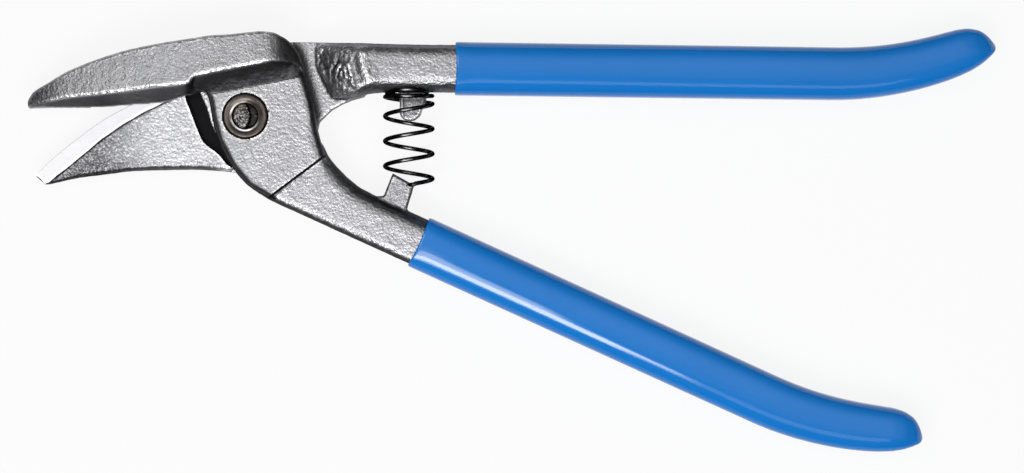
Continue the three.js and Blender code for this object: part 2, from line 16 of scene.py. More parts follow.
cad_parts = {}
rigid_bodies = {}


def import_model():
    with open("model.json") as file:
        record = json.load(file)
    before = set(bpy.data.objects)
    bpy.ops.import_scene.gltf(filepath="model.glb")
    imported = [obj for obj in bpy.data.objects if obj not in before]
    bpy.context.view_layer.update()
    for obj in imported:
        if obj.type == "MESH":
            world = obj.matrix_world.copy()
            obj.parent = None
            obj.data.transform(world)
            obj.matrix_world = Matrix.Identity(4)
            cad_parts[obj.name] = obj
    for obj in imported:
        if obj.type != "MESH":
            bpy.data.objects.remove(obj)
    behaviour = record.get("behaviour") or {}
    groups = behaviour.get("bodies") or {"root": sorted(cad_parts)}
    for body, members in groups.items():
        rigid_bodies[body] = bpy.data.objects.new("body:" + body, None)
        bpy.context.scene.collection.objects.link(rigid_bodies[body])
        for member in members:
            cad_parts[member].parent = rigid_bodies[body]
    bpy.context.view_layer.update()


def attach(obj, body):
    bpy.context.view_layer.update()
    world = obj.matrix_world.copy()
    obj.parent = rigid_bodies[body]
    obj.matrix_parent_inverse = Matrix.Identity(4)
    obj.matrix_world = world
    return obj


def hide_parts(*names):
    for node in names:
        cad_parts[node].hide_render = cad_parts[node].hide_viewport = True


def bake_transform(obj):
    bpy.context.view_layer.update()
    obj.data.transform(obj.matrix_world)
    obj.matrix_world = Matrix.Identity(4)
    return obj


for leftover in list(bpy.data.objects):
    bpy.data.objects.remove(leftover)
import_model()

# %% [markdown]
# The sizes are written in millimetres, as a maker would measure them, and MM turns them into metres.
# They are the same sizes that the frame has, so each piece lands on its place without any fitting.

# %% Sizes of the tool
MM = 0.001

handle_reach = 193.3  # pivot to the end of either grip
handle_angle = math.radians(24.5)  # from the upper handle down to the lower one
mid_height = 6.8  # the shear plane
shear_gap = 0.2
plate_thickness = 6.2
plate_reach = 20.0
plate_top = mid_height + shear_gap + plate_thickness
front_back = mid_height + shear_gap
rear_bottom = mid_height - plate_thickness
shank_width = 12.3
shank_low = 0.8
shank_high = 12.8
mouth_reach = 54.0
upper_offset = 12.45
lower_offset = 11.05
upper_fall = math.radians(0.77)
bend_reach = 152.0
bend_radius = 91.0
to_lower_handle = Matrix.Rotation(-handle_angle, 4, "Z")
overshoot = 2.0  # a cutter stands out of the steel by this much

# %% [markdown]
# Shapes are built with mesh operators. Small helpers turn what was built into an object of the scene.


# %% Objects from shapes
def add_object(name, data):
    thing = bpy.data.objects.new(name, data)
    bpy.context.scene.collection.objects.link(thing)
    return thing


def to_mesh(name, bm):
    mesh = bpy.data.meshes.new(name)
    bm.to_mesh(mesh)
    bm.free()
    return mesh


def to_object(name, bm):
    return add_object(name, to_mesh(name, bm))


# %% [markdown]
# The camera looks straight down at the tool, as the product photograph does. A long lens far away
# keeps the outline free of perspective, and the width of the view follows from the photograph's scale.

# %% Camera
view_centre = (68.8, -31.1)
view_width = 265.0
view_level = 10.0
camera_height = 900.0
sensor_width = 36.0

camera_data = bpy.data.cameras.new("camera")
camera_data.sensor_width = sensor_width
camera_data.lens = sensor_width * camera_height / view_width
camera_data.clip_end = 100.0
camera = add_object("camera", camera_data)
camera.location = Vector((*view_centre, view_level + camera_height)) * MM
bpy.context.scene.camera = camera
bpy.context.scene.view_settings.view_transform = "Standard"

# %% [markdown]
# Node trees are easier to read when small helpers add a node, fill in its sockets and place its links.
# A helper that adds a node gives back what comes out of it, for the next one to take.

# %% Node helpers
finishes = {}


class Tree:
    """A node tree with short ways to add the nodes used here."""

    def __init__(self, tree):
        self.tree = tree

    def join(self, value, socket):
        """Links an output to a socket, or else sets the socket to the value."""
        if isinstance(value, bpy.types.NodeSocket):
            self.tree.links.new(value, socket)
        else:
            socket.default_value = value

    def fill(self, sockets, inputs):
        """Fills sockets by their names. A value named i2 goes to socket 2."""
        for name, value in inputs.items():
            key = int(name[1:]) if name[1:].isdigit() else name.replace("_", " ")
            self.join(value, sockets[key])

    def add(self, kind, settings=None, **inputs):
        node = self.tree.nodes.new(kind)
        for name, value in (settings or {}).items():
            setattr(node, name, value)
        self.fill(node.inputs, inputs)
        return node.outputs

    def shade(self, **inputs):
        """Fills the inputs of the material's own shader."""
        self.fill(self.tree.nodes["Principled BSDF"].inputs, inputs)

    def work_out(self, operation, *values):
        numbered = {f"i{k}": value for k, value in enumerate(values)}
        return self.add("ShaderNodeMath", {"operation": operation}, **numbered)[0]

    def place(self):
        return self.add("ShaderNodeTexCoord")["Object"]

    def painted(self, name):
        return self.add("ShaderNodeAttribute", {"attribute_name": name})["Fac"]

    def noise(self, place, scale, **more):
        return self.add("ShaderNodeTexNoise", Vector=place, Scale=scale, **more)[0]

    def spread(self, value, start, end, low=0.0, high=1.0, kind="LINEAR"):
        """Maps start to end onto low to high, and keeps within them."""
        return self.add("ShaderNodeMapRange", {"clamp": True, "interpolation_type": kind}, Value=value,
                        From_Min=start, From_Max=end, To_Min=low, To_Max=high)[0]

    def layers(self, colour, *coats):
        """Lays coats over a colour, each where its mask says."""
        for mask, coat in coats:
            colour = self.add("ShaderNodeMix", {"data_type": "RGBA"}, i0=mask, i6=colour, i7=coat)[2]
        return colour

    def group(self, group, **inputs):
        return self.add("ShaderNodeGroup", {"node_tree": group}, **inputs)

    def bump(self, height, strength, depth):
        return self.add("ShaderNodeBump", Strength=strength, Distance=depth * MM, Height=height)[0]


def new_finish(name):
    """Makes a material and gives its tree."""
    material = bpy.data.materials.new(name)
    material.use_nodes = True
    finishes[name] = material
    return Tree(material.node_tree)


# %% [markdown]
# The tool lies on a plain white table. The table stays a real surface that catches a soft shadow,
# and the camera and reflections see most of it as pure white, as in a cut-out product photograph.

# %% Table
table_size = 12.0
table_shadow = 0.12  # how much of the real, shaded table shows
table_shape = bmesh.new()
bmesh.ops.create_grid(table_shape, x_segments=1, y_segments=1, size=table_size / 2)
table = to_object("table", table_shape)

tree = new_finish("table_white")
tree.shade(Base_Color=(0.9, 0.9, 0.9, 1), Roughness=0.9)
nodes = tree.tree.nodes
rays = tree.add("ShaderNodeLightPath")
seen = tree.work_out("MAXIMUM", rays["Is Camera Ray"], rays["Is Glossy Ray"])
seen = tree.work_out("MAXIMUM", seen, rays["Is Transmission Ray"])
share = tree.work_out("MULTIPLY", seen, 1 - table_shadow)
glow = tree.add("ShaderNodeEmission", Color=(1, 1, 1, 1), Strength=1.0)[0]
mixed = tree.add("ShaderNodeMixShader", i0=share, i1=nodes["Principled BSDF"].outputs[0], i2=glow)[0]
tree.join(mixed, nodes["Material Output"].inputs["Surface"])
table.data.materials.append(finishes["table_white"])

# %% [markdown]
# Steel shows its surroundings. In the photograph the flat faces are light and every edge that rolls away
# goes dark, so the studio is a bright sky overhead that fades to a dark horizon. A softbox on the near
# side draws bright lines along the edges that face it, and an oval one beside the lower grip gives its
# long streak. Lamps are placed in metres.

# %% Studio light
sky_lean = -0.06  # the sky is brightest a little towards the near side
sky_steps = [(0.0, 0.04), (0.5, 0.07), (0.64, 0.14), (0.78, 0.36), (0.88, 0.68), (0.96, 0.96), (1.0, 1.0)]
strip_along = Vector((math.cos(handle_angle), -math.sin(handle_angle), 0))
strip_aside = Vector((-math.sin(handle_angle), -math.cos(handle_angle), 0))
strip_aim = strip_along * 0.045
strip_place = strip_aim + strip_aside * 0.265 + Vector((0, 0, 0.5))
# name, place, aim, size, watts, shape
softboxes = [
    ("near_softbox", (0.02, -0.45, 0.8), (0.04, -0.02, 0), (0.8, 0.25), 2.75, "RECTANGLE"),
    ("key_softbox", (-0.4, 0.2, 0.95), (0.05, -0.02, 0), (0.25, 0.25), 1.0, "RECTANGLE"),
    ("grip_strip", strip_place, strip_aim, (0.2, 0.42), 0.56, "ELLIPSE"),
]

world = bpy.data.worlds.new("studio")
world.use_nodes = True
bpy.context.scene.world = world
tree = Tree(world.node_tree)
parts = tree.add("ShaderNodeSeparateXYZ", i0=tree.add("ShaderNodeTexCoord")["Generated"])
height_of_sky = tree.work_out("MULTIPLY_ADD", parts["Y"], sky_lean, parts["Z"])
sky = tree.add("ShaderNodeValToRGB", Fac=height_of_sky)["Color"]
ramp = sky.node.color_ramp.elements
while len(ramp) < len(sky_steps):
    ramp.new(0.5)
for element, (place, level) in zip(ramp, sky_steps):
    element.position = place
    element.color = (level, level, level, 1)
rays = tree.add("ShaderNodeLightPath")
backdrop = tree.layers(sky, (rays["Is Camera Ray"], (1, 1, 1, 1)))
tree.join(backdrop, world.node_tree.nodes["Background"].inputs["Color"])

for name, place, aim, size, power, shape in softboxes:
    data = bpy.data.lights.new(name, "AREA")
    data.shape = shape
    data.size, data.size_y = size
    data.energy = power
    light = add_object(name, data)
    light.location = place
    light.rotation_euler = (Vector(aim) - Vector(place)).to_track_quat("-Z", "Y").to_euler()
    light.visible_camera = False

# %% [markdown]
# Effects that several finishes share are node groups. The first is the pebbled skin of a forging:
# soft cells as left by scale and shot blasting, with slow unevenness over them. The second smudges a
# value, and the third tells worn edges from hollows.


# %% Shared effects
def new_group(name, inputs, outputs):
    """Makes a node group. An input that starts as None is a vector."""
    group = bpy.data.node_groups.new(name, "ShaderNodeTree")
    for label, start in inputs.items():
        kind = "NodeSocketVector" if start is None else "NodeSocketFloat"
        socket = group.interface.new_socket(label, in_out="INPUT", socket_type=kind)
        if start is not None:
            socket.default_value = start
    for label in outputs:
        group.interface.new_socket(label, in_out="OUTPUT", socket_type="NodeSocketFloat")
    given, out = group.nodes.new("NodeGroupInput"), group.nodes.new("NodeGroupOutput")
    return group, Tree(group), given.outputs, out.inputs


pebbled_skin, tree, given, out = new_group(
    "pebbled_skin", {"Vector": None, "Per Metre": 1000.0, "Unevenness": 0.4}, ("Height", "Tone"))
place, per_metre = given["Vector"], given["Per Metre"]
drift = tree.noise(place, per_metre, Detail=1.0)
cells = tree.noise(place, per_metre, Detail=1.0, Roughness=0.45, Distortion=0.2)
slow = tree.noise(place, tree.work_out("MULTIPLY", per_metre, 0.16), Detail=2.0)
uneven = tree.work_out("MULTIPLY", slow, given["Unevenness"])
tree.join(tree.work_out("ADD", cells, uneven), out["Height"])
tree.join(tree.work_out("MULTIPLY_ADD", drift, 0.6, uneven), out["Tone"])

smudges, tree, given, out = new_group(
    "smudges", {"Vector": None, "Per Metre": 90.0, "Low": 0.2, "High": 0.4}, ("Value",))
smudge = tree.noise(given["Vector"], given["Per Metre"], Detail=4.0)
tree.join(tree.spread(smudge, 0.3, 0.7, given["Low"], given["High"]), out["Value"])

edge_shine, tree, given, out = new_group(
    "edge_shine", {"Bend": 0.0, "Start": 0.1, "Full": 0.5}, ("Worn", "Cavity"))
hollow = tree.work_out("MULTIPLY", given["Bend"], -1.0)
for turning, label in ((given["Bend"], "Worn"), (hollow, "Cavity")):
    tree.join(tree.spread(turning, given["Start"], given["Full"], kind="SMOOTHSTEP"), out[label])


def smudged(tree, place, per_metre, low, high):
    return tree.group(smudges, Vector=place, Per_Metre=per_metre, Low=low, High=high)["Value"]


# %% [markdown]
# Forged steel is bright and pebbled on its faces, darker in hollows, partly from scale that stays there and
# partly as painted shade, and polished where it was ground. The mesh carries four numbers for this: bend says
# how sharply the surface turns, scale marks dark skin and also painted shade, another number marks bright
# ground places and also painted highlights, and pitted marks coarse skin.

# %% Forged steel
tree = new_finish("forged_steel")
place = tree.place()
scale, ground_and_highlight = tree.painted("scale"), tree.painted("ground_and_highlight")
skin = tree.group(pebbled_skin, Vector=place, Per_Metre=1500.0, Unevenness=0.3)
coarse_skin = tree.group(pebbled_skin, Vector=place, Per_Metre=1600.0, Unevenness=0.2)
edges = tree.group(edge_shine, Bend=tree.painted("bend"), Start=0.12, Full=0.45)
tops = tree.spread(coarse_skin["Height"], 0.56, 0.74, kind="SMOOTHSTEP")
steel = tree.layers(
    (0.3, 0.3, 0.314, 1),
    (skin["Tone"], (0.785, 0.785, 0.82, 1)),
    # Creases turn darker: partly scale, partly painted shade.
    (edges["Cavity"], (0.2, 0.2, 0.21, 1)),
    (edges["Worn"], (0.8, 0.8, 0.81, 1)),
    (tree.painted("pitted"), tree.layers((0.07, 0.07, 0.077, 1), (tops, (0.33, 0.33, 0.345, 1)))),
    # Near black for dark scale, and for painted shade on rims, sides, recesses and gaps.
    (scale, (0.008, 0.008, 0.009, 1)),
    # Bright for ground steel, and for painted highlights.
    (ground_and_highlight, (0.72, 0.72, 0.74, 1)),
)
polish = tree.spread(ground_and_highlight, 0.0, 1.0, smudged(tree, place, 160.0, 0.34, 0.46), 0.24)
skin_depth = tree.spread(tree.work_out("MAXIMUM", scale, ground_and_highlight), 0.45, 1.0, 1.0, 0.15)
pebbles = tree.bump(tree.work_out("MULTIPLY", skin["Height"], skin_depth), 0.9, 0.205)
tree.shade(Base_Color=steel, Metallic=0.92, Specular_Tint=(0.35, 0.35, 0.36, 1), Roughness=polish,
           Normal=pebbles)

# %% [markdown]
# The strip behind the lower cutting edge is ground: almost white, with fine lines across it.

# %% Ground steel
tree = new_finish("ground_steel")
place = tree.place()
across = tree.add("ShaderNodeMapping", Vector=place, Rotation=(0, 0, math.radians(52)), Scale=(0.05, 1, 1))[0]
lines = tree.noise(across, 5200.0, Detail=2.0)
strip_tone = tree.layers((0.68, 0.68, 0.71, 1), (lines, (0.78, 0.78, 0.8, 1)),
                         (tree.painted("border"), (0.92, 0.92, 0.92, 1)))
tree.shade(Base_Color=strip_tone, Metallic=0.7, Roughness=smudged(tree, place, 240.0, 0.3, 0.4),
           Normal=tree.bump(lines, 0.15, 0.02))

# %% [markdown]
# Nut and bolt are browned: a dark bronze oxide, rubbed through to bright steel on their edges. A near black
# layer paints shade on the nut and on the bolt inside it, a bright layer paints a highlight on the nut's lip,
# and pitted marks the broken end of the bolt.

# %% Browned steel
tree = new_finish("browned_steel")
place = tree.place()
skin = tree.group(pebbled_skin, Vector=place, Per_Metre=900.0, Unevenness=0.3)
chips = tree.group(pebbled_skin, Vector=place, Per_Metre=2300.0, Unevenness=0.3)["Height"]
chip_tops = tree.spread(chips, 0.6, 0.82, kind="SMOOTHSTEP")
edges = tree.group(edge_shine, Bend=tree.painted("bend"), Start=0.12, Full=0.5)
rubbed_edges = tree.work_out("MULTIPLY", edges["Worn"], smudged(tree, place, 210.0, 0.0, 1.0))
oxide = tree.layers(
    (0.05, 0.043, 0.04, 1),
    (skin["Tone"], (0.22, 0.19, 0.175, 1)),
    (rubbed_edges, (0.26, 0.21, 0.16, 1)),
    (tree.painted("pitted"), tree.layers((0.03, 0.029, 0.029, 1), (chip_tops, (0.28, 0.273, 0.265, 1)))),
    # Painted highlight on the lip round the nut's bore.
    (tree.painted("ground_and_highlight"), (0.86, 0.85, 0.83, 1)),
    # Painted shade, near black.
    (tree.painted("painted_shade"), (0.012, 0.011, 0.012, 1)),
)
tree.shade(Base_Color=oxide, Metallic=0.95, Roughness=smudged(tree, place, 400.0, 0.25, 0.4),
           Normal=tree.bump(skin["Height"], 0.5, 0.12))

# %% [markdown]
# The spring wire is blacked and oiled, so it is nearly black. Where the turns bulge towards a face of the
# tool, and at their left ends, a lighter grey is painted as a highlight.

# %% Blacked wire
tree = new_finish("blacked_wire")
place = tree.place()
wire_tone = tree.layers(
    (0.016, 0.016, 0.018, 1),
    (smudged(tree, place, 300.0, 0.0, 1.0), (0.06, 0.058, 0.06, 1)),
    # Painted highlight on the turns.
    (tree.painted("ground_and_highlight"), (0.3, 0.3, 0.31, 1)),
)
tree.shade(Base_Color=wire_tone, Metallic=1.0, Specular_Tint=(0.08, 0.08, 0.08, 1),
           Roughness=smudged(tree, place, 700.0, 0.12, 0.22))

# %% [markdown]
# The grips are dipped in soft blue plastic. It is smooth and glossy, with the slight waviness of a skin that
# ran and set while it hung. How strongly the surroundings and lamps show in it is a painted reflection:
# strong where it is painted and weak elsewhere.

# %% Dipped plastic
tree = new_finish("blue_dip")
place = tree.place()
dye = tree.layers((0.008, 0.2, 0.65, 1), (smudged(tree, place, 26.0, 0.0, 1.0), (0.01, 0.216, 0.69, 1)))
tree.shade(Base_Color=dye, Roughness=smudged(tree, place, 60.0, 0.08, 0.12),
           # Painted reflection: the specular level follows the painted number.
           Specular_IOR_Level=tree.spread(tree.painted("painted_reflection"), 0.0, 1.0, 0.12, 1.0),
           Normal=tree.bump(tree.noise(place, 55.0, Detail=1.0), 0.12, 0.6))

# %% [markdown]
# Most pieces are lofts: a ring of points is placed on one section and extruded to the next.
# The sections come from short tables, so two small functions fill in smooth values between the rows.
# The others give a smooth step, a peak, the points of an arc and an outline in millimetres.


# %% Curves between measured rows
def curve(points, steps):
    """A smooth line through a few points, with steps pieces between each two."""
    ends = [points[0], *points, points[-1]]
    line = []
    for a, b, c, d in zip(ends, ends[1:], ends[2:], ends[3:]):
        a, b, c, d = (np.array(p, float) for p in (a, b, c, d))
        second, third = a * 2 - b * 5 + c * 4 - d, b * 3 - a - c * 3 + d
        for k in range(steps):
            t = k / steps
            line.append((b * 2 + (c - a) * t + second * t**2 + third * t**3) / 2)
    line.append(np.array(points[-1], float))
    return [tuple(p) for p in line]


def rows_between(table, spacing):
    """Rows of a table at even spacing of its first column, without overshoot between the given rows."""
    rows = np.array(table, float)
    first = rows[:, 0]
    gaps = np.diff(first)[:, None]
    slopes = np.diff(rows, axis=0) / gaps
    middle = np.zeros_like(rows)
    same = slopes[:-1] * slopes[1:] > 0
    middle[1:-1][same] = (2 * slopes[:-1] * slopes[1:])[same] / (slopes[:-1] + slopes[1:])[same]
    middle[0], middle[-1] = slopes[0], slopes[-1]
    count = max(2, round((first[-1] - first[0]) / spacing) + 1)
    wanted = np.unique(np.concatenate([np.linspace(first[0], first[-1], count), first]))
    index = np.clip(np.searchsorted(first, wanted, side="right") - 1, 0, len(first) - 2)
    gap = gaps[index]
    t = ((wanted - first[index])[:, None]) / gap
    low, high = rows[index], rows[index + 1]
    out = (2 * t**3 - 3 * t**2 + 1) * low + (t**3 - 2 * t**2 + t) * gap * middle[index]
    out += (3 * t**2 - 2 * t**3) * high + (t**3 - t**2) * gap * middle[index + 1]
    return out


def fade(values, start, end):
    """0 before start, 1 after end, smooth between. It falls where end is below start."""
    t = np.clip((np.asarray(values, float) - start) / (end - start), 0, 1)
    return t * t * (3 - 2 * t)


def peak(values, centre, width):
    """1 at the centre, and next to nothing two widths away."""
    return np.exp(-((values - centre) / width) ** 2)


def arc(across, up, radius, start, end, steps):
    """Points on an arc from one angle to another, in degrees."""
    turns = [math.radians(start + (end - start) * k / steps) for k in range(steps + 1)]
    return [(across + radius * math.cos(turn), up + radius * math.sin(turn)) for turn in turns]


def scaled(shares, reach):
    return [(x * reach, y * reach) for x, y in shares]


# %% [markdown]
# The mesh helpers make a loft over sections, a plate from an outline, a post and a turned part. The first
# three start from a shape made by an operator, and a turned part is a profile spun about its axis.
# The others join shapes, cut one out of another and melt several into one.


# %% Mesh helpers
def ring_edges(bm, ring):
    return [bm.edges.get((a, b)) for a, b in zip(ring, ring[1:] + ring[:1])]


def put(ring, points):
    for vert, point in zip(ring, points):
        vert.co = Vector(point) * MM


def new_verts(extruded):
    return {item for item in extruded["geom"] if isinstance(item, bmesh.types.BMVert)}


def loft(sections):
    """A closed skin over sections that all have the same number of points."""
    bm = bmesh.new()
    ring = bmesh.ops.create_circle(bm, segments=len(sections[0]), radius=MM)["verts"]
    put(ring, sections[0])
    bmesh.ops.contextual_create(bm, geom=ring_edges(bm, ring))
    for section in sections[1:]:
        fresh = new_verts(bmesh.ops.extrude_edge_only(bm, edges=ring_edges(bm, ring)))
        ring = [next(e.other_vert(v) for e in v.link_edges if e.other_vert(v) in fresh) for v in ring]
        put(ring, section)
    bmesh.ops.contextual_create(bm, geom=ring_edges(bm, ring))
    bmesh.ops.recalc_face_normals(bm, faces=bm.faces)
    return bm


def round_rim(bm, level, amount, chosen=lambda middle: True, segments=4, flatness=1.0):
    """Rounds the sharp rim at one level, on its chosen edges. Flatness is depth by width."""
    rim = [e for e in bm.edges if all(abs(v.co.z - level * MM) < 1e-7 for v in e.verts)
           and any(abs(f.normal.z) < 0.1 for f in e.link_faces)
           and chosen((e.verts[0].co + e.verts[1].co) / 2 / MM)]
    turned = bmesh.ops.bevel(bm, geom=rim, offset=amount * MM, affect="EDGES", segments=segments, profile=0.5,
                             material=-1, clamp_overlap=True)
    for vert in turned["verts"]:
        vert.co.z = level * MM - (level * MM - vert.co.z) * flatness


def plate(outline, low, high, round_top=0.0, round_low=0.0):
    """A flat plate with the given outline, its rims rounded where a rounding is given."""
    bm = bmesh.new()
    ring = bmesh.ops.create_circle(bm, cap_ends=True, segments=len(outline), radius=MM)["verts"]
    put(ring, [(x, y, low) for x, y in outline])
    lifted = new_verts(bmesh.ops.extrude_face_region(bm, geom=list(bm.faces)))
    bmesh.ops.translate(bm, verts=list(lifted), vec=(0, 0, (high - low) * MM))
    bmesh.ops.recalc_face_normals(bm, faces=bm.faces)
    for level, amount in ((high, round_top), (low, round_low)):
        if amount:
            round_rim(bm, level, amount)
    return bm


def post(x, y, radius, low, high, segments=96):
    bm = bmesh.new()
    bmesh.ops.create_cone(bm, cap_ends=True, segments=segments, radius1=radius * MM, radius2=radius * MM,
                          depth=(high - low) * MM)
    bmesh.ops.translate(bm, verts=bm.verts, vec=Vector((x, y, (low + high) / 2)) * MM)
    return bm


def spun(profile, steps):
    """Spins a profile of (radius, height) points about the Z axis."""
    bm = bmesh.new()
    verts = [bm.verts.new(Vector((r, 0, z)) * MM) for r, z in profile]
    edges = [bm.edges.new(pair) for pair in zip(verts, verts[1:])]
    bmesh.ops.spin(bm, geom=verts + edges, axis=(0, 0, 1), cent=(0, 0, 0), steps=steps, angle=2 * math.pi,
                   use_merge=True)
    bmesh.ops.remove_doubles(bm, verts=bm.verts, dist=1e-6)
    bmesh.ops.recalc_face_normals(bm, faces=bm.faces)
    return bm


def lowered(bm):
    """Turns a shape from the direction of the upper handle to that of the lower one."""
    bmesh.ops.transform(bm, matrix=to_lower_handle, verts=bm.verts)
    return bm


def joined(*meshes):
    bm = bmesh.new()
    for mesh in meshes:
        bm.from_mesh(mesh)
    return bm


def modify(thing, kind, **settings):
    """Gives an object a modifier and applies it."""
    modifier = thing.modifiers.new(kind.lower(), kind)
    for name, value in settings.items():
        setattr(modifier, name, value)
    shape = bpy.data.meshes.new_from_object(thing.evaluated_get(bpy.context.evaluated_depsgraph_get()))
    thing.modifiers.clear()
    thing.data = shape


def carve(thing, *cutters, operation="DIFFERENCE"):
    """Cuts shapes out of an object, or adds them to it, one after the other."""
    for cutter in cutters:
        tool = to_object("cutter", cutter)
        modify(thing, "BOOLEAN", operation=operation, solver="EXACT", object=tool)
        bpy.data.objects.remove(tool)


def carved(shape, *cutters):
    """A shape with others cut out of it, before it is forged with the rest."""
    blank = to_object("blank", shape)
    carve(blank, *cutters)
    shape = joined(blank.data)
    bpy.data.objects.remove(blank)
    return shape


forging_grain = 0.33
softening_passes = 2


def forge(name, *shapes):
    """Melts overlapping shapes into one skin, as forging does, and softens its edges."""
    thing = to_object(name, joined(*[to_mesh("part", shape) for shape in shapes]))
    modify(thing, "REMESH", mode="VOXEL", voxel_size=forging_grain * MM)
    modify(thing, "SMOOTH", factor=0.5, iterations=softening_passes)
    return thing


# %% [markdown]
# The handles follow one middle line: straight, then a bend upwards to the end. A section of the bar is a
# rounded rectangle. Its corners have their own radii, because the inner edge of a shank is rolled
# over much further than the outer one.


# %% Sections of a bar
def handle_line(offset, fall):
    """Returns a function from the reach along a handle to a point on its middle line and its heading."""
    def line(reach):
        straight = min(reach, bend_reach) - mouth_reach
        turn = max(0.0, reach - bend_reach) / bend_radius
        heading = turn - fall
        x = mouth_reach + straight * math.cos(fall) + bend_radius * (math.sin(heading) + math.sin(fall))
        y = offset - straight * math.sin(fall) + bend_radius * (math.cos(fall) - math.cos(heading))
        return x, y, heading
    return line


upper_line = handle_line(upper_offset, upper_fall)
lower_line = handle_line(-lower_offset, 0.0)


def bar_section(x, right, left, low, high, radii, corner_steps=6):
    """A rectangle with its own radius at the left top, right top, right low and left low."""
    corners = ((left, high, 90, 1, -1), (right, high, 0, -1, -1),
               (right, low, 270, -1, 1), (left, low, 180, 1, 1))
    points = []
    for (across, up, start, inwards, rise), radius in zip(corners, radii):
        points += arc(across + inwards * radius, up + rise * radius, radius, start + 90, start, corner_steps)
    return [(x, across, up) for across, up in points]


def oval(half_width, half_height, squareness, count):
    points = []
    for k in range(count):
        turn = 2 * math.pi * k / count
        c, s = math.cos(turn), math.sin(turn)
        points.append((half_width * math.copysign(abs(c) ** (2 / squareness), c),
                       half_height * math.copysign(abs(s) ** (2 / squareness), s)))
    return points


# %% [markdown]
# Each vertex of a forging carries four numbers that its finish reads. Bend is worked out from the mesh:
# it is high on ridges and below zero in creases. The others are painted by rules on place and
# direction, one rule for each zone that looks different in the photograph.


# %% Painted numbers
def read_shape(mesh):
    """The places of a mesh's vertices in millimetres, and their normals."""
    count = len(mesh.vertices)
    places = np.empty(count * 3)
    mesh.vertices.foreach_get("co", places)
    normals = np.empty(count * 3, np.float32)
    mesh.vertices.foreach_get("normal", normals)
    return places.reshape(-1, 3) / MM, normals.reshape(-1, 3).astype(float)


def move_points(thing, places):
    thing.data.vertices.foreach_set("co", (places * MM).ravel())
    thing.data.update()


def paint(mesh, name, values):
    mesh.attributes.new(name, "FLOAT", "POINT").data.foreach_set("value", np.asarray(values, np.float32))


def darkest(*zones):
    return np.maximum.reduce(zones)


def paint_bend(mesh, spread):
    """Turning of the surface per millimetre, averaged over spread rounds of neighbours."""
    places, normals = read_shape(mesh)
    pairs = np.empty(len(mesh.edges) * 2, np.int32)
    mesh.edges.foreach_get("vertices", pairs)
    a, b = pairs.reshape(-1, 2).T
    step = places[b] - places[a]
    length = np.maximum(np.linalg.norm(step, axis=1), 1e-3)
    turning = np.einsum("ij,ij->i", normals[b] - normals[a], step) / length**2
    total = len(places)
    count = np.maximum(np.bincount(a, minlength=total) + np.bincount(b, minlength=total), 1)
    bend = (np.bincount(a, turning, total) + np.bincount(b, turning, total)) / count
    for _ in range(spread):
        bend = (bend + (np.bincount(a, bend[b], total) + np.bincount(b, bend[a], total)) / count) / 2
    paint(mesh, "bend", bend)


def distance_to_line(places, line):
    """Distance in the plane of the tool from each place to a line through points."""
    nearest = np.full(len(places), 1e9)
    for (ax, ay), (bx, by) in zip(line, line[1:]):
        along = np.array([bx - ax, by - ay])
        offset = places[:, :2] - (ax, ay)
        t = np.clip(offset @ along / (along @ along), 0, 1)
        nearest = np.minimum(nearest, np.linalg.norm(offset - t[:, None] * along, axis=1))
    return nearest


def finish_piece(thing, body, node, slot, sharp):
    """Gives a piece its finish and its place in the frame. Edges that turn by more than sharp stay crisp."""
    thing.data.materials.clear()
    thing.data.materials.append(finishes[slot])
    thing.data.shade_smooth()
    thing.data.set_sharp_from_angle(angle=math.radians(sharp))
    if node:
        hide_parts(node)
    if body:
        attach(thing, body)
    thing.data.calc_loop_triangles()
    print(thing.name, len(thing.data.loop_triangles), "triangles")


# %% [markdown]
# The upper jaw is a long wedge. Each section has a rounded top, a flat face, a ridge, a hollow wall
# under the ridge and a narrow land behind the cutting edge. The table gives shares: along the jaw,
# then of its height for the top, the ridge and the foot, then of its depth for the face and the foot.

# %% Upper jaw
jaw_reach = 56.7
jaw_height = 22.1
jaw_depth = 10.3
jaw_top_round = 0.9
edge_land = 0.7
land_lean = 0.65  # how far the land slopes out to the cutting edge
jaw_shares = [
    [-1, 0.19, 0.118, 0.086, 0.2, 0],
    [-0.977, 0.272, 0.12, 0.086, 0.3, 0],
    [-0.952, 0.318, 0.135, 0.086, 0.38, 0],
    [-0.903, 0.388, 0.157, 0.088, 0.48, 0],
    [-0.811, 0.519, 0.205, 0.09, 0.62, 0],
    [-0.67, 0.66, 0.24, 0.096, 0.76, 0],
    [-0.529, 0.766, 0.282, 0.123, 0.87, 0],
    [-0.388, 0.84, 0.326, 0.152, 0.94, 0],
    [-0.265, 0.889, 0.362, 0.24, 0.98, 0.01],
    [-0.246, 0.897, 0.385, 0.256, 0.985, 0.08],
    [-0.23, 0.902, 0.448, 0.278, 0.99, 0.45],
    [-0.19, 0.919, 0.47, 0.29, 1, 0.534],
    [-0.15, 0.933, 0.492, 0.262, 1, 0.534],
    [-0.072, 0.944, 0.53, 0.293, 1, 0.534],
    [0.02, 0.969, 0.578, 0.337, 1, 0.534],
    [0.086, 0.98, 0.61, 0.37, 0.98, 0.534],
    [0.132, 0.964, 0.627, 0.394, 0.935, 0.534],
    [0.176, 0.912, 0.62, 0.418, 0.86, 0.534],
    [0.215, 0.83, 0.605, 0.439, 0.76, 0.534],
    [0.247, 0.706, 0.56, 0.457, 0.66, 0.534],
    [0.266, 0.55, 0.505, 0.47, 0.56, 0.5],
]


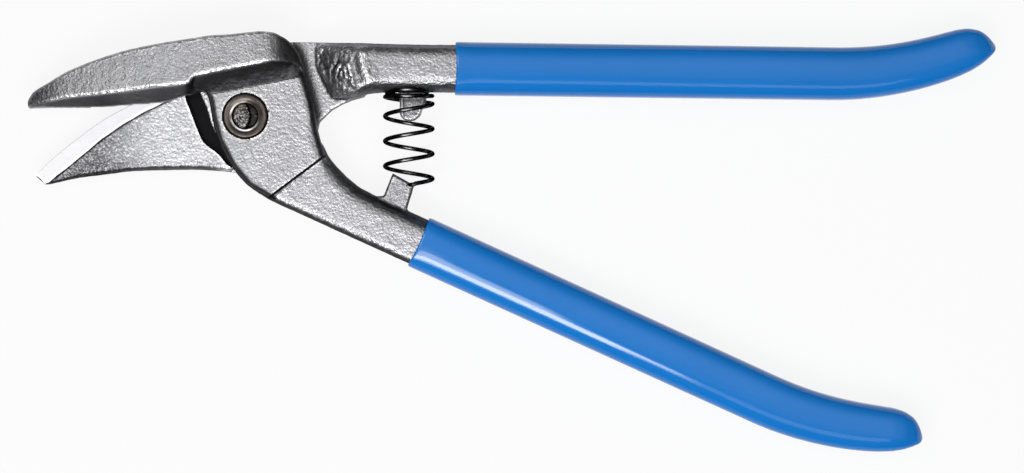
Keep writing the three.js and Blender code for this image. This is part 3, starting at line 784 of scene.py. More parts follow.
def jaw_section(row):
    along, top, ridge, foot, face, land = row
    top, ridge, foot = top * jaw_height, ridge * jaw_height, foot * jaw_height
    face = face * jaw_depth
    land = min(land * jaw_depth + edge_land, face - 0.8)
    land = max(land, min(edge_land, face / 2))
    radius = min(jaw_top_round, (top - ridge) / 2, face / 2)
    lip = min(0.5, (top - ridge) / 5, face / 5)
    points = [(top, 0), (top, (face - radius) / 2), *arc(top - radius, face - radius, radius, 0, 90, 8)]
    points += [((top - radius + ridge) / 2, face), (ridge + 2 * lip, face), (ridge + lip / 2, face - lip / 4),
               (ridge, face - lip)]
    wall_foot = foot + min(land_lean, (ridge - foot) / 3) * float(fade(along, -0.2, -0.3))
    hollow = 0.1 * (ridge - wall_foot)
    for t in (0.25, 0.5, 0.75):
        points.append((ridge + (wall_foot - ridge) * t + hollow * math.sin(math.pi * t),
                       face - lip + (land - face + lip) * t))
    points += [(wall_foot, land), (foot, 0), ((foot + top) / 2, 0)]
    return [(along * jaw_reach, y, front_back + z) for y, z in points]


upper_jaw = loft([jaw_section(row) for row in rows_between(jaw_shares, 0.02)])

# %% [markdown]
# The front plate carries the nut. It is a flat plate with a rounded rim, and it runs into the jaw above.

# %% Front plate
plate_left = [(-0.51, 0.315), (-0.463, 0.18), (-0.43, -0.03), (-0.35, -0.315), (-0.185, -0.635),
              (0.035, -0.9), (0.325, -1.07)]
plate_right = [(1.025, -0.51), (0.93, -0.2), (0.89, 0.07), (0.84, 0.275), (0.755, 0.57)]
plate_above = [(0.6, 0.68), (-0.47, 0.44)]
left_rim_width = 1.6
left_rim_flatness = 0.65
right_rim_start = plate_reach * 0.72
right_rim_width = 2.3
right_rim_flatness = 0.85
plate_low_round = 0.3

front_plate = plate(curve(scaled(plate_left, plate_reach), 8) + curve(scaled(plate_right, plate_reach), 8)
                    + scaled(plate_above, plate_reach), front_back, plate_top, round_low=plate_low_round)
round_rim(front_plate, plate_top, right_rim_width, lambda middle: middle.x > right_rim_start,
          flatness=right_rim_flatness)
round_rim(front_plate, plate_top, left_rim_width, segments=1, flatness=left_rim_flatness)

# %% [markdown]
# The lower shank leaves the plate and runs into its grip. Its inner side is a long hollow curve,
# rolled over more and more towards the grip, and its outer side is straight with a small rounding.
# The table gives shares along the handle, then of the shank's width. Under the plate it is cut away
# for the hub, which swings there, and for the hub's neck, which comes near when the tool is closed.

# %% Lower shank
lower_shank_shares = [
    [0.2, 1.65, -0.46, 0.16],
    [0.29, 1.4, -0.5, 0.16],
    [0.345, 1.16, -0.5, 0.2],
    [0.4, 0.98, -0.5, 0.26],
    [0.435, 0.85, -0.5, 0.3],
    [0.5, 0.71, -0.5, 0.34],
    [0.575, 0.59, -0.5, 0.36],
    [0.65, 0.52, -0.5, 0.36],
    [0.8, 0.5, -0.5, 0.36],
    [1.06, 0.5, -0.5, 0.36],
]
outer_round = 2.3
hub_swing = 19.6
neck_room = [(17.0, -8.1), (21.8, -5.8), (21.8, -3.0), (17.0, -3.0)]

shank_sections = []
for along, inner, outer, rounding in rows_between(lower_shank_shares, 0.02) * (1, *[shank_width] * 3):
    shank_sections.append(bar_section(along * mouth_reach, -lower_offset + inner, -lower_offset + outer,
                                      shank_low, shank_high, (outer_round, rounding, rounding, outer_round)))
lower_shank = carved(lowered(loft(shank_sections)), post(0, 0, hub_swing, -overshoot, front_back),
                     plate(neck_room, -overshoot, front_back))

# %% [markdown]
# The lug for the spring's hook stands on the inner side of the lower shank. It is a small flat tab
# with broken edges.

# %% Spring lug
lug_width = 5.9
lug_height = 7.4
lug_thickness = 7.0
lug_shift = 2.25
lug_round = 0.7
hook_edge = 1.05
hook_aside = 0.4  # the hole lies this much off the coil's axis
spring_reach = 42.0
lug_end = -lower_offset + shank_width / 2 + lug_height
hook_line = lug_end - hook_edge
hook_along = (spring_reach + hook_aside - hook_line * math.sin(handle_angle)) / math.cos(handle_angle)
hook = to_lower_handle @ Vector((hook_along, hook_line, 0))
lug_shares = [(-0.53, 0.97), (0.53, 0.9), (0.68, 0.05), (0.95, -0.15), (0.95, -0.4), (-0.85, -0.4),
              (-0.85, -0.03), (-0.47, 0.12)]
lug_outline = [(hook_along - lug_shift + a * lug_width, lug_end - lug_height + b * lug_height)
               for a, b in lug_shares]
lug = lowered(plate(lug_outline, mid_height - lug_thickness / 2, mid_height + lug_thickness / 2,
                    lug_round, lug_round))

# %% [markdown]
# The front forging is these shapes melted into one skin. Voxel remeshing joins them and leaves the
# small fillets that a forging has. The round seat for the nut, the bores and the seam are cut
# afterwards, so their edges stay crisp.

# %% Front forging
front_forging = forge("front_half_forging", upper_jaw, front_plate, lower_shank, lug)

# %% [markdown]
# The lower jaw is a thinner blade. Along its cutting edge runs a ground strip, and the forged face beside
# the strip lies a little lower. The table gives shares: along the jaw, then of its drop for the cutting
# edge, the inner side of the strip and the lower side, then of its thickness.

# %% Lower jaw
lower_jaw_reach = 54.8
lower_jaw_drop = 17.6
lower_jaw_thickness = 6.1
strip_drop = 0.6
strip_bed = 0.2  # the forging lies this much under the strip's face, and the strip fills it
lower_jaw_shares = [
    [-1, -0.86, -0.87, -0.885, 0.4],
    [-0.98, -0.795, -0.91, -0.935, 0.48],
    [-0.957, -0.72, -0.985, -1, 0.5],
    [-0.898, -0.557, -0.858, -0.966, 0.56],
    [-0.803, -0.318, -0.625, -0.903, 0.66],
    [-0.684, -0.051, -0.318, -0.855, 0.78],
    [-0.547, 0.18, -0.034, -0.801, 0.9],
    [-0.403, 0.36, 0.199, -0.784, 1],
    [-0.265, 0.51, 0.38, -0.778, 1],
    [-0.122, 0.6, 0.5, -0.801, 1],
    [-0.03, 0.6, 0.5, -0.828, 1],
]
lower_jaw_rows = rows_between(lower_jaw_shares, 0.02) * (
    lower_jaw_reach, lower_jaw_drop, lower_jaw_drop, lower_jaw_drop, lower_jaw_thickness)


def lower_jaw_section(row):
    x, edge, strip, side, thick = row
    bottom, face, bed = mid_height - thick, mid_height - strip_drop, mid_height - strip_bed
    radius = min(1.6, (strip - side) / 2.5, (face - bottom) / 2.5)
    wall = min(0.4, (strip - side) / 4)
    lean = min(1.2, (edge - side) / 4)
    points = [(edge - min(0.1, (edge - strip) / 4), bed), (strip, bed), (strip - wall, face),
              ((strip - wall + side + radius) / 2, face)]
    points += arc(side + radius, face - radius, radius, 90, 180, 6)
    points += arc(side + radius, bottom + radius, radius, 180, 270, 4)
    points += [((side + edge) / 2, bottom), (edge - lean, bottom)]
    return [(x, y, z) for y, z in points]


lower_jaw = loft([lower_jaw_section(row) for row in lower_jaw_rows])

# %% [markdown]
# The rear hub lies under the front plate. A sliver of it shows beside the deep chip pocket, and a flat
# patch of it shows between the plate and the shank.

# %% Rear hub
hub_reach = 18.7
hub_round = 0.5
hub_right = [(-0.225, -0.76), (0.16, -0.834), (0.455, -0.797), (0.72, -0.636), (0.91, -0.39), (0.997, -0.07)]
hub_top = [(0.21, 0.99), (-0.21, 0.9), (-0.53, 0.72), (-0.73, 0.48)]
hub_left = [(-0.65, 0.33), (-0.565, 0.14), (-0.497, -0.086), (-0.428, -0.25), (-0.246, -0.524),
            (-0.14, -0.67)]
hub_neck = [(0.402, -0.875), (0.45, -0.75), (0.498, -0.66), (0.565, -0.58), (0.565, 0.54), (0.22, 0.54)]
pocket_left = [(-0.225, -0.71), (-0.305, -0.642), (-0.4, -0.524), (-0.567, -0.396), (-0.652, -0.283),
               (-0.79, 0.07), (-0.866, 0.273), (-0.85, 0.4), (-0.7, 0.43)]
pocket_depth = 3.4

neck = [(along * mouth_reach, upper_offset + across * shank_width) for along, across in hub_neck]
rear_hub = plate(curve(scaled(hub_right, hub_reach), 6) + neck + curve(scaled(hub_top, hub_reach), 4)
                 + scaled(hub_left, hub_reach), rear_bottom, mid_height, round_low=hub_round)
pocket_outline = scaled(hub_left, hub_reach)[::-1] + curve(scaled(pocket_left, hub_reach)[::-1], 4)
pocket = plate(pocket_outline[::-1], mid_height - pocket_depth, mid_height + overshoot)

# %% [markdown]
# The upper shank rises out of the hub in a lumpy forged ramp and runs straight into its grip. A thin
# line of flash, squeezed out where the forging dies met, follows its far edge. The table gives shares:
# along the handle, of the shank's width for its lower and upper side, and of its rise.

# %% Upper shank
upper_shank_shares = [
    [0.336, -0.06, 0.502, 0.1],
    [0.37, -0.33, 0.502, 0.27],
    [0.42, -0.66, 0.5, 0.56],
    [0.5, -0.66, 0.5, 0.86],
    [0.58, -0.56, 0.497, 1],
    [0.7, -0.51, 0.487, 1],
    [0.85, -0.5, 0.482, 1],
    [1.06, -0.5, 0.49, 1],
]
plate_swing = 21.35
lower_side_round = 4.2
far_side_round = 3.0
flash_start = 11.2
flash_stand = 0.25
flash_depth = 2.0
flash_thickness = 0.9


def upper_middle(x):
    return upper_offset + (mouth_reach - x) * math.tan(upper_fall)


shank_sections = []
flash_line = [(flash_start, upper_middle(flash_start) + upper_shank_shares[0][2] * shank_width + flash_stand)]
for along, lower, upper, rise in rows_between(upper_shank_shares, 0.02):
    x = along * mouth_reach
    low_side, high_side = upper_middle(x) + lower * shank_width, upper_middle(x) + upper * shank_width
    top = mid_height + rise * (shank_high - mid_height)
    near = min(lower_side_round, (top - shank_low) / 3)
    far = min(far_side_round, (top - shank_low) / 4)
    shank_sections.append(bar_section(x, high_side, low_side, shank_low, top, (near, far, far, near)))
    flash_line.append((x, high_side + flash_stand))
upper_shank = carved(loft(shank_sections), post(0, 0, plate_swing, mid_height, 20))
flash_root = [(x, y - flash_depth) for x, y in (flash_line[0], flash_line[-1])]
flash = plate(flash_root + flash_line[::-1], mid_height - flash_thickness, mid_height - 0.05)

# %% [markdown]
# The spring sits round a peg under the upper shank. The peg is a rough tongue with a blunt end. It is
# forged in one with the lower jaw, the hub and the upper shank.

# %% Spring peg and rear forging
peg_width = 7.0
peg_length = 7.7
peg_thickness = 3.6
peg_shift = 1.2
peg_round = 0.5
peg_shares = [(-0.53, -0.3), (-0.5, 0.78), (-0.37, 0.94), (-0.17, 1), (0.05, 0.97), (0.25, 0.82), (0.5, 0.2),
              (0.57, -0.05), (0.57, -0.3)]
peg_foot = upper_middle(spring_reach) - shank_width / 2
peg_outline = [(spring_reach + peg_shift + a * peg_width, peg_foot - b * peg_length) for a, b in peg_shares]
peg = plate(peg_outline, mid_height - peg_thickness / 2, mid_height + peg_thickness / 2,
            peg_round, peg_round)
rear_forging = forge("rear_half_forging", lower_jaw, rear_hub, upper_shank, flash, peg)
carve(rear_forging, pocket)

# %% [markdown]
# A forging isn't smooth. Its skin is lifted and lowered by soft noise on real vertices, except on the faces
# that were machined: the shear plane, the hub and the bores. The ramp of the upper shank also has folds where
# the hot steel was pushed over. Each one is a line with a width, a height, and a last number for painted
# light: above zero it paints a highlight along the ridge, below zero it paints shade in the crease.

# %% Forged skin
skin_height = 0.07
skin_length = 1.7
fold_wander = 0.35
wander_length = 1.1
wander_height = 0.22
folds = [
    ([(29.5, 16.2), (29.9, 13.8), (31.1, 11.3), (32.2, 9.3)], 1.5, 0.4, 0.5),
    ([(28.5, 15.5), (28.6, 12.5), (29.3, 9.5)], 0.9, -0.25, -0.3),
    ([(26.4, 13.2), (26.7, 11.9), (27.3, 10.2), (27.7, 8.2)], 0.62, 0.4, 0.9),
    ([(26.2, 12.2), (26.6, 10.4)], 0.35, -0.2, -0.5),
    ([(25.3, 12.5), (25.4, 11.2), (25.8, 10.3), (26.4, 9.8)], 0.45, 0.3, 0.85),
    ([(25.1, 11.5), (25.3, 10.6)], 0.35, -0.35, -0.9),
    ([(24.6, 11.4), (24.35, 10.8)], 0.3, 0.15, 0.7),
    ([(24.3, 12.0), (23.95, 11.2), (23.8, 10.5)], 0.4, -0.35, -0.9),
    ([(24.2, 13.2), (23.2, 12.1)], 0.45, 0.2, 0.35),
    ([(23.7, 14.1), (23.2, 13.1), (22.3, 11.6)], 0.6, -0.35, -0.85),
    ([(19.0, 14.8), (20.2, 12.9)], 1.5, -0.2, -0.6),
    ([(19.3, 17.4), (18.3, 15.9)], 0.35, 0.15, 1.0),
    ([(19.4, 11.3), (20.4, 9.3)], 0.7, 0.2, 0.6),
    ([(27.0, 8.7), (28.3, 7.7)], 0.4, 0.2, 0.7),
    ([(22.2, 7), (24.3, 5.2)], 0.9, -0.1, -0.35),
]


def soft_noise(places, length):
    return np.array([noise.noise(Vector(p) / length) for p in places])


def near_fold(places, line, width, wander):
    """1 on a fold and 0 away from it, with a line that wanders."""
    return peak(distance_to_line(places, line) + fold_wander * width * wander, 0, width)


# The edges of the ramp are split in two first, to carry the finer folds.
ramp_start, ramp_end = 17, 34
ramp_far = 18.5
ramp_low = 7.5
bm = joined(rear_forging.data)
ramp_edges = []
for e in bm.edges:
    middle = (e.verts[0].co + e.verts[1].co) / 2 / MM
    if ramp_start < middle.x < ramp_end and middle.y < ramp_far and middle.z > ramp_low:
        ramp_edges.append(e)
bmesh.ops.subdivide_edges(bm, edges=ramp_edges, cuts=1, use_grid_fill=True)
bm.to_mesh(rear_forging.data)
bm.free()

for thing in (front_forging, rear_forging):
    places, normals = read_shape(thing.data)
    flat = fade(np.abs(normals[:, 2]), 0.9, 0.98) * fade(np.abs(places[:, 2] - mid_height), 0.45, 0.3)
    machined = np.maximum(flat, fade(places[:, 2], 1.6, 1.1))
    lift = soft_noise(places, skin_length) + 0.5 * soft_noise(places, 0.45 * skin_length)
    move_points(thing, places + normals * (lift * skin_height * (1 - machined))[:, None])

places, normals = read_shape(rear_forging.data)
x, y, z = places.T
wander = soft_noise(places, wander_length)
facing_up = fade(normals[:, 2], 0.1, 0.5) * fade(z, 7.2, 7.8) * fade(np.hypot(x, y), 21.2, 22.4)
lift = wander_height * wander * facing_up * fade(x, 31, 27)
for line, width, height, painted_light in folds:
    lift += height * facing_up * near_fold(places, line, width, wander)
places[:, 2] += lift
move_points(rear_forging, places)

# %% [markdown]
# Cuts with sharp rims come after the melt: the bore, the round seat of the nut, the seam between the
# plate and the shank, the hook's hole, and the notch that is staked into plate and nut together.

# %% Machined cuts
nut_radius = 5.68
nut_gap = 0.23
nut_seat = 9.2
shoulder_radius = 4.5
bore_radius = shoulder_radius + 0.1
head_seat_radius = 6.75
head_seat_depth = 2.8
hook_hole_radius = 0.7
stake_radius = 0.6
stake_depth = 1.0
stake_turn = math.radians(13)
stake_place = nut_radius + nut_gap / 2
seam = [(21.2, -9.75), (6.1, -21.1)]
seam_width = 0.5
seam_depth = 0.85
stake = (stake_place * math.cos(stake_turn), stake_place * math.sin(stake_turn), stake_radius,
         plate_top - stake_depth, plate_top + overshoot, 24)

start, end = Vector(seam[0]), Vector(seam[1])
seam_along = (end - start).normalized()
seam_aside = Vector((-seam_along.y, seam_along.x)) * seam_width / 2
seam_outline = [start - seam_aside, start + seam_aside, end + seam_aside, end - seam_aside]
carve(
    front_forging,
    plate(seam_outline, plate_top - seam_depth, plate_top + overshoot),
    post(0, 0, bore_radius, 4, 12),
    post(0, 0, nut_radius + nut_gap, nut_seat, plate_top + overshoot),
    post(*stake),
    post(hook.x - 0.1, hook.y - 0.05, hook_hole_radius, 0, 14, 24),
)
carve(rear_forging, post(0, 0, bore_radius, -1, 9), post(0, 0, head_seat_radius, -1, head_seat_depth))

# %% [markdown]
# The tangs inside the grips are plain bars. They are added to the forgings as they are, since nothing of
# them shows. Tang and grip taper alike. The table gives shares: along the grip, then of its width, then
# of its width for how far its middle slips aside.

# %% Tangs
grip_wall = 0.6
grip_clearance = 0.2
tang_start = 2.0
tang_end_gap = 9.0
tang_squareness = 4.5
grip_half_width = shank_width / 2 + grip_wall + grip_clearance
grip_half_height = (shank_high - shank_low) / 2 + grip_wall + grip_clearance
bar_middle = (shank_low + shank_high) / 2
bend_turn = math.asin((handle_reach - bend_reach) / bend_radius)
grip_length = bend_reach - mouth_reach + bend_radius * bend_turn
taper_rows = rows_between([
    [0, 1, 0],
    [0.7, 0.985, 0],
    [0.8, 0.95, 0],
    [0.9, 0.885, 0],
    [0.945, 0.81, 0],
    [0.968, 0.69, -0.01],
    [0.985, 0.51, -0.04],
    [0.992, 0.37, -0.08],
    [0.996, 0.24, -0.12],
    [0.9985, 0.1, -0.145],
    [1, 0.06, -0.15],
], 0.02)


def bar_ring(line, share, drawn_in, squareness, count):
    """A ring square to a handle's middle line, at a share of the grip's length from its mouth."""
    width, slip = (float(np.interp(share, taper_rows[:, 0], taper_rows[:, k])) for k in (1, 2))
    x, y, heading = line(mouth_reach + share * grip_length)
    ring = []
    half_width, half_height = grip_half_width * width - drawn_in, grip_half_height * width - drawn_in
    for aside, up in oval(half_width, half_height, squareness, count):
        aside += 2 * grip_half_width * slip
        ring.append((x - aside * math.sin(heading), y + aside * math.cos(heading), bar_middle + up))
    return ring


tang_shares = np.linspace(tang_start / grip_length, 1 - tang_end_gap / grip_length, 30)
tang_depth = grip_wall + grip_clearance
for forging, line in ((front_forging, lower_line), (rear_forging, upper_line)):
    tang = loft([bar_ring(line, share, tang_depth, tang_squareness, 32) for share in tang_shares])
    if line is lower_line:
        lowered(tang)
    both = joined(forging.data, to_mesh("tang", tang))
    both.to_mesh(forging.data)
    both.free()

# %% [markdown]
# Now the zones of the forgings are painted, and much of it is painted light and shade. Dark scale stays in
# the folds, and the land behind the upper cutting edge is ground bright. Painted shade darkens the hollow
# under the jaw's ridge, where scale stays too, and the chip pocket, the seam, the gap round the nut, the rims
# and edges that roll away, the side faces, the hub beside the plate and the peg under the coil. Painted
# highlights brighten the jaw's ridge, the top of the jaw's face, a corner of the lug and the ridges of the
# folds. In each rule, the first number is the strength, and the bounds of a fade are millimetres, shares of
# the jaw's length or parts of a normal. Side faces get half a coat of painted shade, since no light falls
# straight on them.

# %% Painted zones of the front forging
# Strengths of painted shade on side faces and on rims that roll over.
side_shade = 0.5
rim_shade = 0.72


def column(rows, number, reach, height, x):
    """The height that a column of a jaw's table gives at each x."""
    return np.interp(x / reach, rows[:, 0], rows[:, number]) * height


def rounded_rims(up, z):
    """Painted shade on side faces, and on the rims where a top face rolls over."""
    return side_shade * fade(up, 0.55, 0.25), rim_shade * fade(up, 0.62, 0.3) * fade(z, 6, 10)


mesh = front_forging.data
paint_bend(mesh, 2)
places, normals = read_shape(mesh)
x, y, z = places.T
right, up = normals[:, 0], normals[:, 2]
along = x / jaw_reach
jaw_rows = rows_between(jaw_shares, 0.01)
top_line, ridge_line, foot_line = (column(jaw_rows, k, jaw_reach, jaw_height, x) for k in (1, 2, 3))
on_jaw = fade(x, 15.6, 14.6) * (z > front_back + 0.2)
land_line = foot_line + land_lean * fade(along, -0.2, -0.3)
# Painted shade in the hollow wall under the ridge, with the scale that stays there.
under_ridge = on_jaw * fade(y, ridge_line + 0.25, ridge_line) * fade(y, land_line - 0.3, land_line)
under_ridge *= fade(along, -0.97, -0.9)
under_ridge *= np.interp(x, (-48, -27, -18, -13, -5, 4, 9), (0.78, 0.76, 0.78, 0.92, 0.88, 0.9, 0.94))
land = (x < -12.5) * fade(y, land_line + 0.1, land_line - 0.2) * (z < front_back + edge_land + 0.5)
# Painted shade in the seam and in the gap round the nut.
by_seam = (distance_to_line(places, seam) < seam_width / 2 + 0.02) * (z > 11.5)
in_seam = by_seam * ((up < 0.99) | (z < 12.75))
in_seat = (np.hypot(x, y) < nut_radius + nut_gap + 0.02) * (z > 8)
# Painted shade on the jaw's rounded end, which rolls away from the light.
corner = 0.92 * on_jaw * fade(x, 3, 10.5) * fade(y, ridge_line - 0.6, ridge_line - 0.2)
corner *= z > plate_top + 0.3
# A darker tone over the jaw's face, lifted near the top edge as a painted highlight.
jaw_tone_and_highlight = np.interp(x, (-40, -15), (0.38, 0.36)) * on_jaw * (y > ridge_line)
jaw_tone_and_highlight *= 1 - 0.6 * fade(y, top_line - 1.5, top_line - 0.7)
# Painted highlight along the jaw's ridge, laid on as bright steel.
ridge_highlight = 0.7 * on_jaw * peak(y, ridge_line + 0.4, 0.4) * fade(x, 8, 4) * fade(x, -52, -46)
ridge_highlight *= z > front_back + 3
# Painted shade on the plate's left bevel.
rim_distance = distance_to_line(places, scaled(plate_left, plate_reach))
left_rim = 0.975 * fade(rim_distance, left_rim_width + 0.3, left_rim_width - 0.5)
left_rim *= (z > plate_top - 1.1) * (y < 6.4)
face_tone = np.interp(z, (plate_top - 0.6, plate_top - 0.3), (0.18, 0.22))
# Painted shade on the plate's right rim, left off its steepest part so a light line stays at the edge.
right_rim = 0.9 * fade(right, 0.2, 0.6) * fade(x, 11, 14) * (y > -10.5) * (z > front_back + 1) * (y < 14)
right_rim *= 1 - 0.45 * fade(up, 0.4, 0.25)
cosine, sine = math.cos(handle_angle), math.sin(handle_angle)
along_handle = x * cosine - y * sine
off_handle = x * sine + y * cosine
facing_in = right * sine + normals[:, 1] * cosine
# Painted shade on the lower shank's inner and outer edges.
inner_edge = 0.88 * fade(facing_in, 0.25, 0.8) * fade(along_handle, 14, 18) * (off_handle < 2) * fade(z, 5, 9)
outer_edge = 0.9 * fade(-facing_in, 0.35, 0.7) * fade(along_handle, 10, 14) * fade(z, 9, 11)
on_lug = (off_handle > -4.6) * (along_handle > 38) * (along_handle < 49.5) * (np.abs(z - mid_height) < 3.7)
# A darker tone on the lug, painted shade on its bevels and a painted highlight at its top left corner.
lug_rim = on_lug * (0.33 + 0.61 * fade(up, 0.9, 0.6))
lug_highlight = 0.9 * on_lug * peak(along_handle, 41.7, 0.35) * peak(off_handle, 1.2, 0.7)
dark = darkest(under_ridge, 0.45 * land, in_seam, in_seat, corner, jaw_tone_and_highlight, left_rim, face_tone, right_rim,
               inner_edge, outer_edge, lug_rim, *rounded_rims(up, z))
# Dark scale together with painted shade, kept off the painted highlights.
paint(mesh, "scale", np.clip(dark * (1 - ridge_highlight), 0, 1))
# The ground land together with painted highlights.
paint(mesh, "ground_and_highlight", np.maximum.reduce([0.6 * land, ridge_highlight, lug_highlight]))
paint(mesh, "pitted", 0.7 * on_jaw * fade(x, -46, -54) * (y > ridge_line))

# %% Painted zones of the rear forging
beside_jaw = [(0.72, 0.7), (0.66, 0.85), (0.58, 0.94)]
mesh = rear_forging.data
paint_bend(mesh, 2)
places, normals = read_shape(mesh)
x, y, z = places.T
far, up = normals[:, 1], normals[:, 2]
# Painted shade: the deep chip pocket is painted near black.
in_pocket = (z < mid_height - 0.75) * (z > mid_height - pocket_depth - 0.1) * (x > -17.5) * (x < -2) * (y < 9)
in_pocket *= y > np.interp(x, (-8, -4), (-11.5, -13.6))
wander = soft_noise(places, wander_length)
from_swing = np.abs(np.hypot(x, y) - plate_swing)
# A little painted shade on the steep wall cut for the swing.
wall = 0.15 * (from_swing < 0.3) * (up < 0.6) * (z > mid_height + 0.1)
on_ramp = (z > 7.6) * fade(x, 30.5, 27.5) * (x > 15)
# Scale darkens the ramp; the creases of folds get painted shade and their ridges painted highlights.
fold_dark = np.clip(0.5 + 0.4 * wander, 0.3, 0.8) * on_ramp
fold_highlight = np.zeros(len(places))
for line, width, height, painted_light in folds:
    near = near_fold(places, line, width, wander) * (z > 7.5)
    if painted_light > 0:
        fold_dark *= 1 - near
        fold_highlight = np.maximum(fold_highlight, 0.85 * painted_light * near)
    else:
        fold_dark = np.maximum(fold_dark, -painted_light * near)
        fold_highlight *= 1 - near
# Painted shadow on the hub beside the front plate and the jaw's end.
beside_plate = curve(scaled(plate_right, plate_reach), 6) + scaled(beside_jaw, plate_reach)
patch = np.interp(distance_to_line(places, beside_plate), (0, 0.7, 1.4, 2.5), (0.92, 0.87, 0.5, 0.17))
patch *= (np.abs(z - mid_height) < 0.3) * (x > 12)
border_line = [tuple(row) for row in lower_jaw_rows[:, (0, 2)]]
# Painted shadow on the forged face along the ground strip's inner border.
border = 0.95 * fade(distance_to_line(places, border_line), 0.6, 0.25) * (z < mid_height) * (x < -14)
low_line = column(lower_jaw_rows, 3, 1, 1, x)
# Painted shade along the lower jaw's lower side and on its near rims.
jaw_shade = 0.62 * fade(y - low_line, 2.6, 0.3) * fade(x, -5, -9) * (z > 3)
jaw_rim = 0.75 * fade(x, -5.5, -9) * (y < -10) * fade(up, 0.995, 0.8) * (far < 0)
# A darker tone on the upper shank, with painted shade along its top edge.
shank_tone_and_shade = 0.27 * fade(x, 18, 24) + 0.2 * fade(x, 22, 30) * fade(y, 14, 16.8) * (up > 0.5)
# Painted shade on side faces, on rolled rims and along the upper shank's lower rim.
sides, rims = rounded_rims(up, z)
rims *= 1 - 0.8 * (from_swing < 1) * (y < 17.5)
low_rim = fade(-far, 0.45, 0.62) * fade(x, 26, 30) * (z > 8) * (0.36 + 0.33 * fade(up, 0.2, 0.5))
# A painted shade line down the peg's left side, and a darker tone on the peg that turns to painted shade
# under the coil.
peg_shade_line = 0.85 * peak(x, 40.75, 0.22) * fade(y, -0.6, 0)
on_peg = (np.abs(z - mid_height) < 2.2) * (x > 38) * (x < 49) * (y < 6.2)
peg_tone_and_shade = on_peg * np.maximum(peg_shade_line, 0.25 + 0.4 * fade(y, 2.5, 5))
# Painted shade on the upper shank's far rim.
far_rim = 0.6 * fade(far, 0.3, 0.6) * fade(x, 18, 22) * (z > 9)
dark = darkest(in_pocket * 1.0, wall, fold_dark, patch, border, jaw_rim, shank_tone_and_shade, sides, rims, low_rim,
               far_rim, peg_tone_and_shade, jaw_shade)
coarse = 0.9 * fade(x, -19, -42) + 0.25 * fade(y, -10.5, -13.5) * (x < -8)
fold_highlight *= (up > 0.4) * (1 - low_rim)
# Dark scale together with painted shade, kept off the painted highlights.
paint(mesh, "scale", np.clip(dark * (1 - fold_highlight), 0, 1))
# Painted highlights of the folds.
paint(mesh, "ground_and_highlight", fold_highlight)
paint(mesh, "pitted", np.clip(coarse, 0, 0.9) * (z > 4) * (x < -5) * (up > 0.2))
finish_piece(front_forging, "front_half", "front_forging", "forged_steel", sharp=38)
finish_piece(rear_forging, "rear_half", "rear_forging", "forged_steel", sharp=38)

# %% [markdown]
# The ground strip is its own thin piece in its bed, so that its border with the forged face stays a
# clean line, as it does on the real blade.

# %% Ground strip
strip_thickness = 0.5
edge_bevel = 0.2
border_width = 0.9
strip_wander = 0.06  # the grinding wheel didn't run quite straight
strip_waves = 61
strip_sections = []
for x, edge, inner, side, thick in lower_jaw_rows:
    inner += strip_wander * math.sin(x / lower_jaw_reach * strip_waves)
    room = edge - inner
    profile = [(edge, edge_bevel), (edge - min(edge_bevel, room / 4), 0),
               (inner + min(border_width, room / 2), 0), (inner + min(border_width / 2, room / 3), 0),
               (inner, 0), (inner, strip_thickness), (edge, strip_thickness)]
    strip_sections.append([(x, across, mid_height - down) for across, down in profile])
ground_strip = to_object("ground_strip", loft(strip_sections))
places, normals = read_shape(ground_strip.data)
inner_line = column(lower_jaw_rows, 2, 1, 1, places[:, 0])
paint(ground_strip.data, "border", np.abs(places[:, 1] - inner_line) < 0.6 * border_width)
finish_piece(ground_strip, "rear_half", None, "ground_steel", sharp=30)

# %% [markdown]
# A bolt and a nut are turned parts, so each is a profile spun about its axis. The bolt's end was cropped
# and staked inside the nut, which left it rough, with a lower step on one side.

# %% Bolt
head_flats = 11.0
head_height = 2.4
head_bevel = 0.35
stem_bottom = 1.2
shoulder_top = 9.2
thread_radius = 3.2
step = 1.2
step_bow = 0.108
step_depth = 0.9
end_roughness = 0.16
end_low = 11.8
lumps_per_mm = 2.2


def past_step(x, y):
    """How far a place on the bolt's end lies past the curved step."""
    return x - step + step_bow * y * y


stem = spun([(0, stem_bottom), (shoulder_radius, stem_bottom), (shoulder_radius, shoulder_top),
             (thread_radius, shoulder_top), (thread_radius, 11.2), (thread_radius, 12.15), (3.2, 12.33),
             (3.0, 12.42), (2.6, 12.48), (2.2, 12.5), (1.9, 12.5), (1.6, 12.52), (1.3, 12.5), (1, 12.5),
             (0.7, 12.53), (0.35, 12.5), (0, 12.5)], 72)
for vert in stem.verts:
    px, py, pz = vert.co / MM
    if pz > end_low:
        vert.co.z -= step_depth * MM * float(fade(past_step(px, py), -0.2, 0.2))
        vert.co.z += end_roughness * MM * noise.noise(Vector((px, py, 0)) * lumps_per_mm)
head = post(0, 0, head_flats / 2 / math.cos(math.pi / 6), 0, head_height, 6)
bmesh.ops.bevel(head, geom=list(head.edges), offset=head_bevel * MM, affect="EDGES", segments=2, profile=0.5,
                material=-1)
bolt = to_object("pivot_bolt_turned", stem)
carve(bolt, head, operation="UNION")
paint_bend(bolt.data, 0)
x, y, z = read_shape(bolt.data)[0].T
on_end = (z > 12) * fade(past_step(x, y), 0, -0.3)
paint(bolt.data, "pitted", on_end * (1 - 0.5 * fade(y - x, 2, 3.5)))
# Painted shade on the bolt inside the nut and on the lower step of its end.
paint(bolt.data, "painted_shade", (z > 9) * (z < 12.05) * 0.85)
finish_piece(bolt, "front_half", "pivot_bolt", "browned_steel", sharp=35)

# %% Nut
nut_bottom = nut_seat + 0.1
nut_top = plate_top + 0.5
nut_bore = 3.45
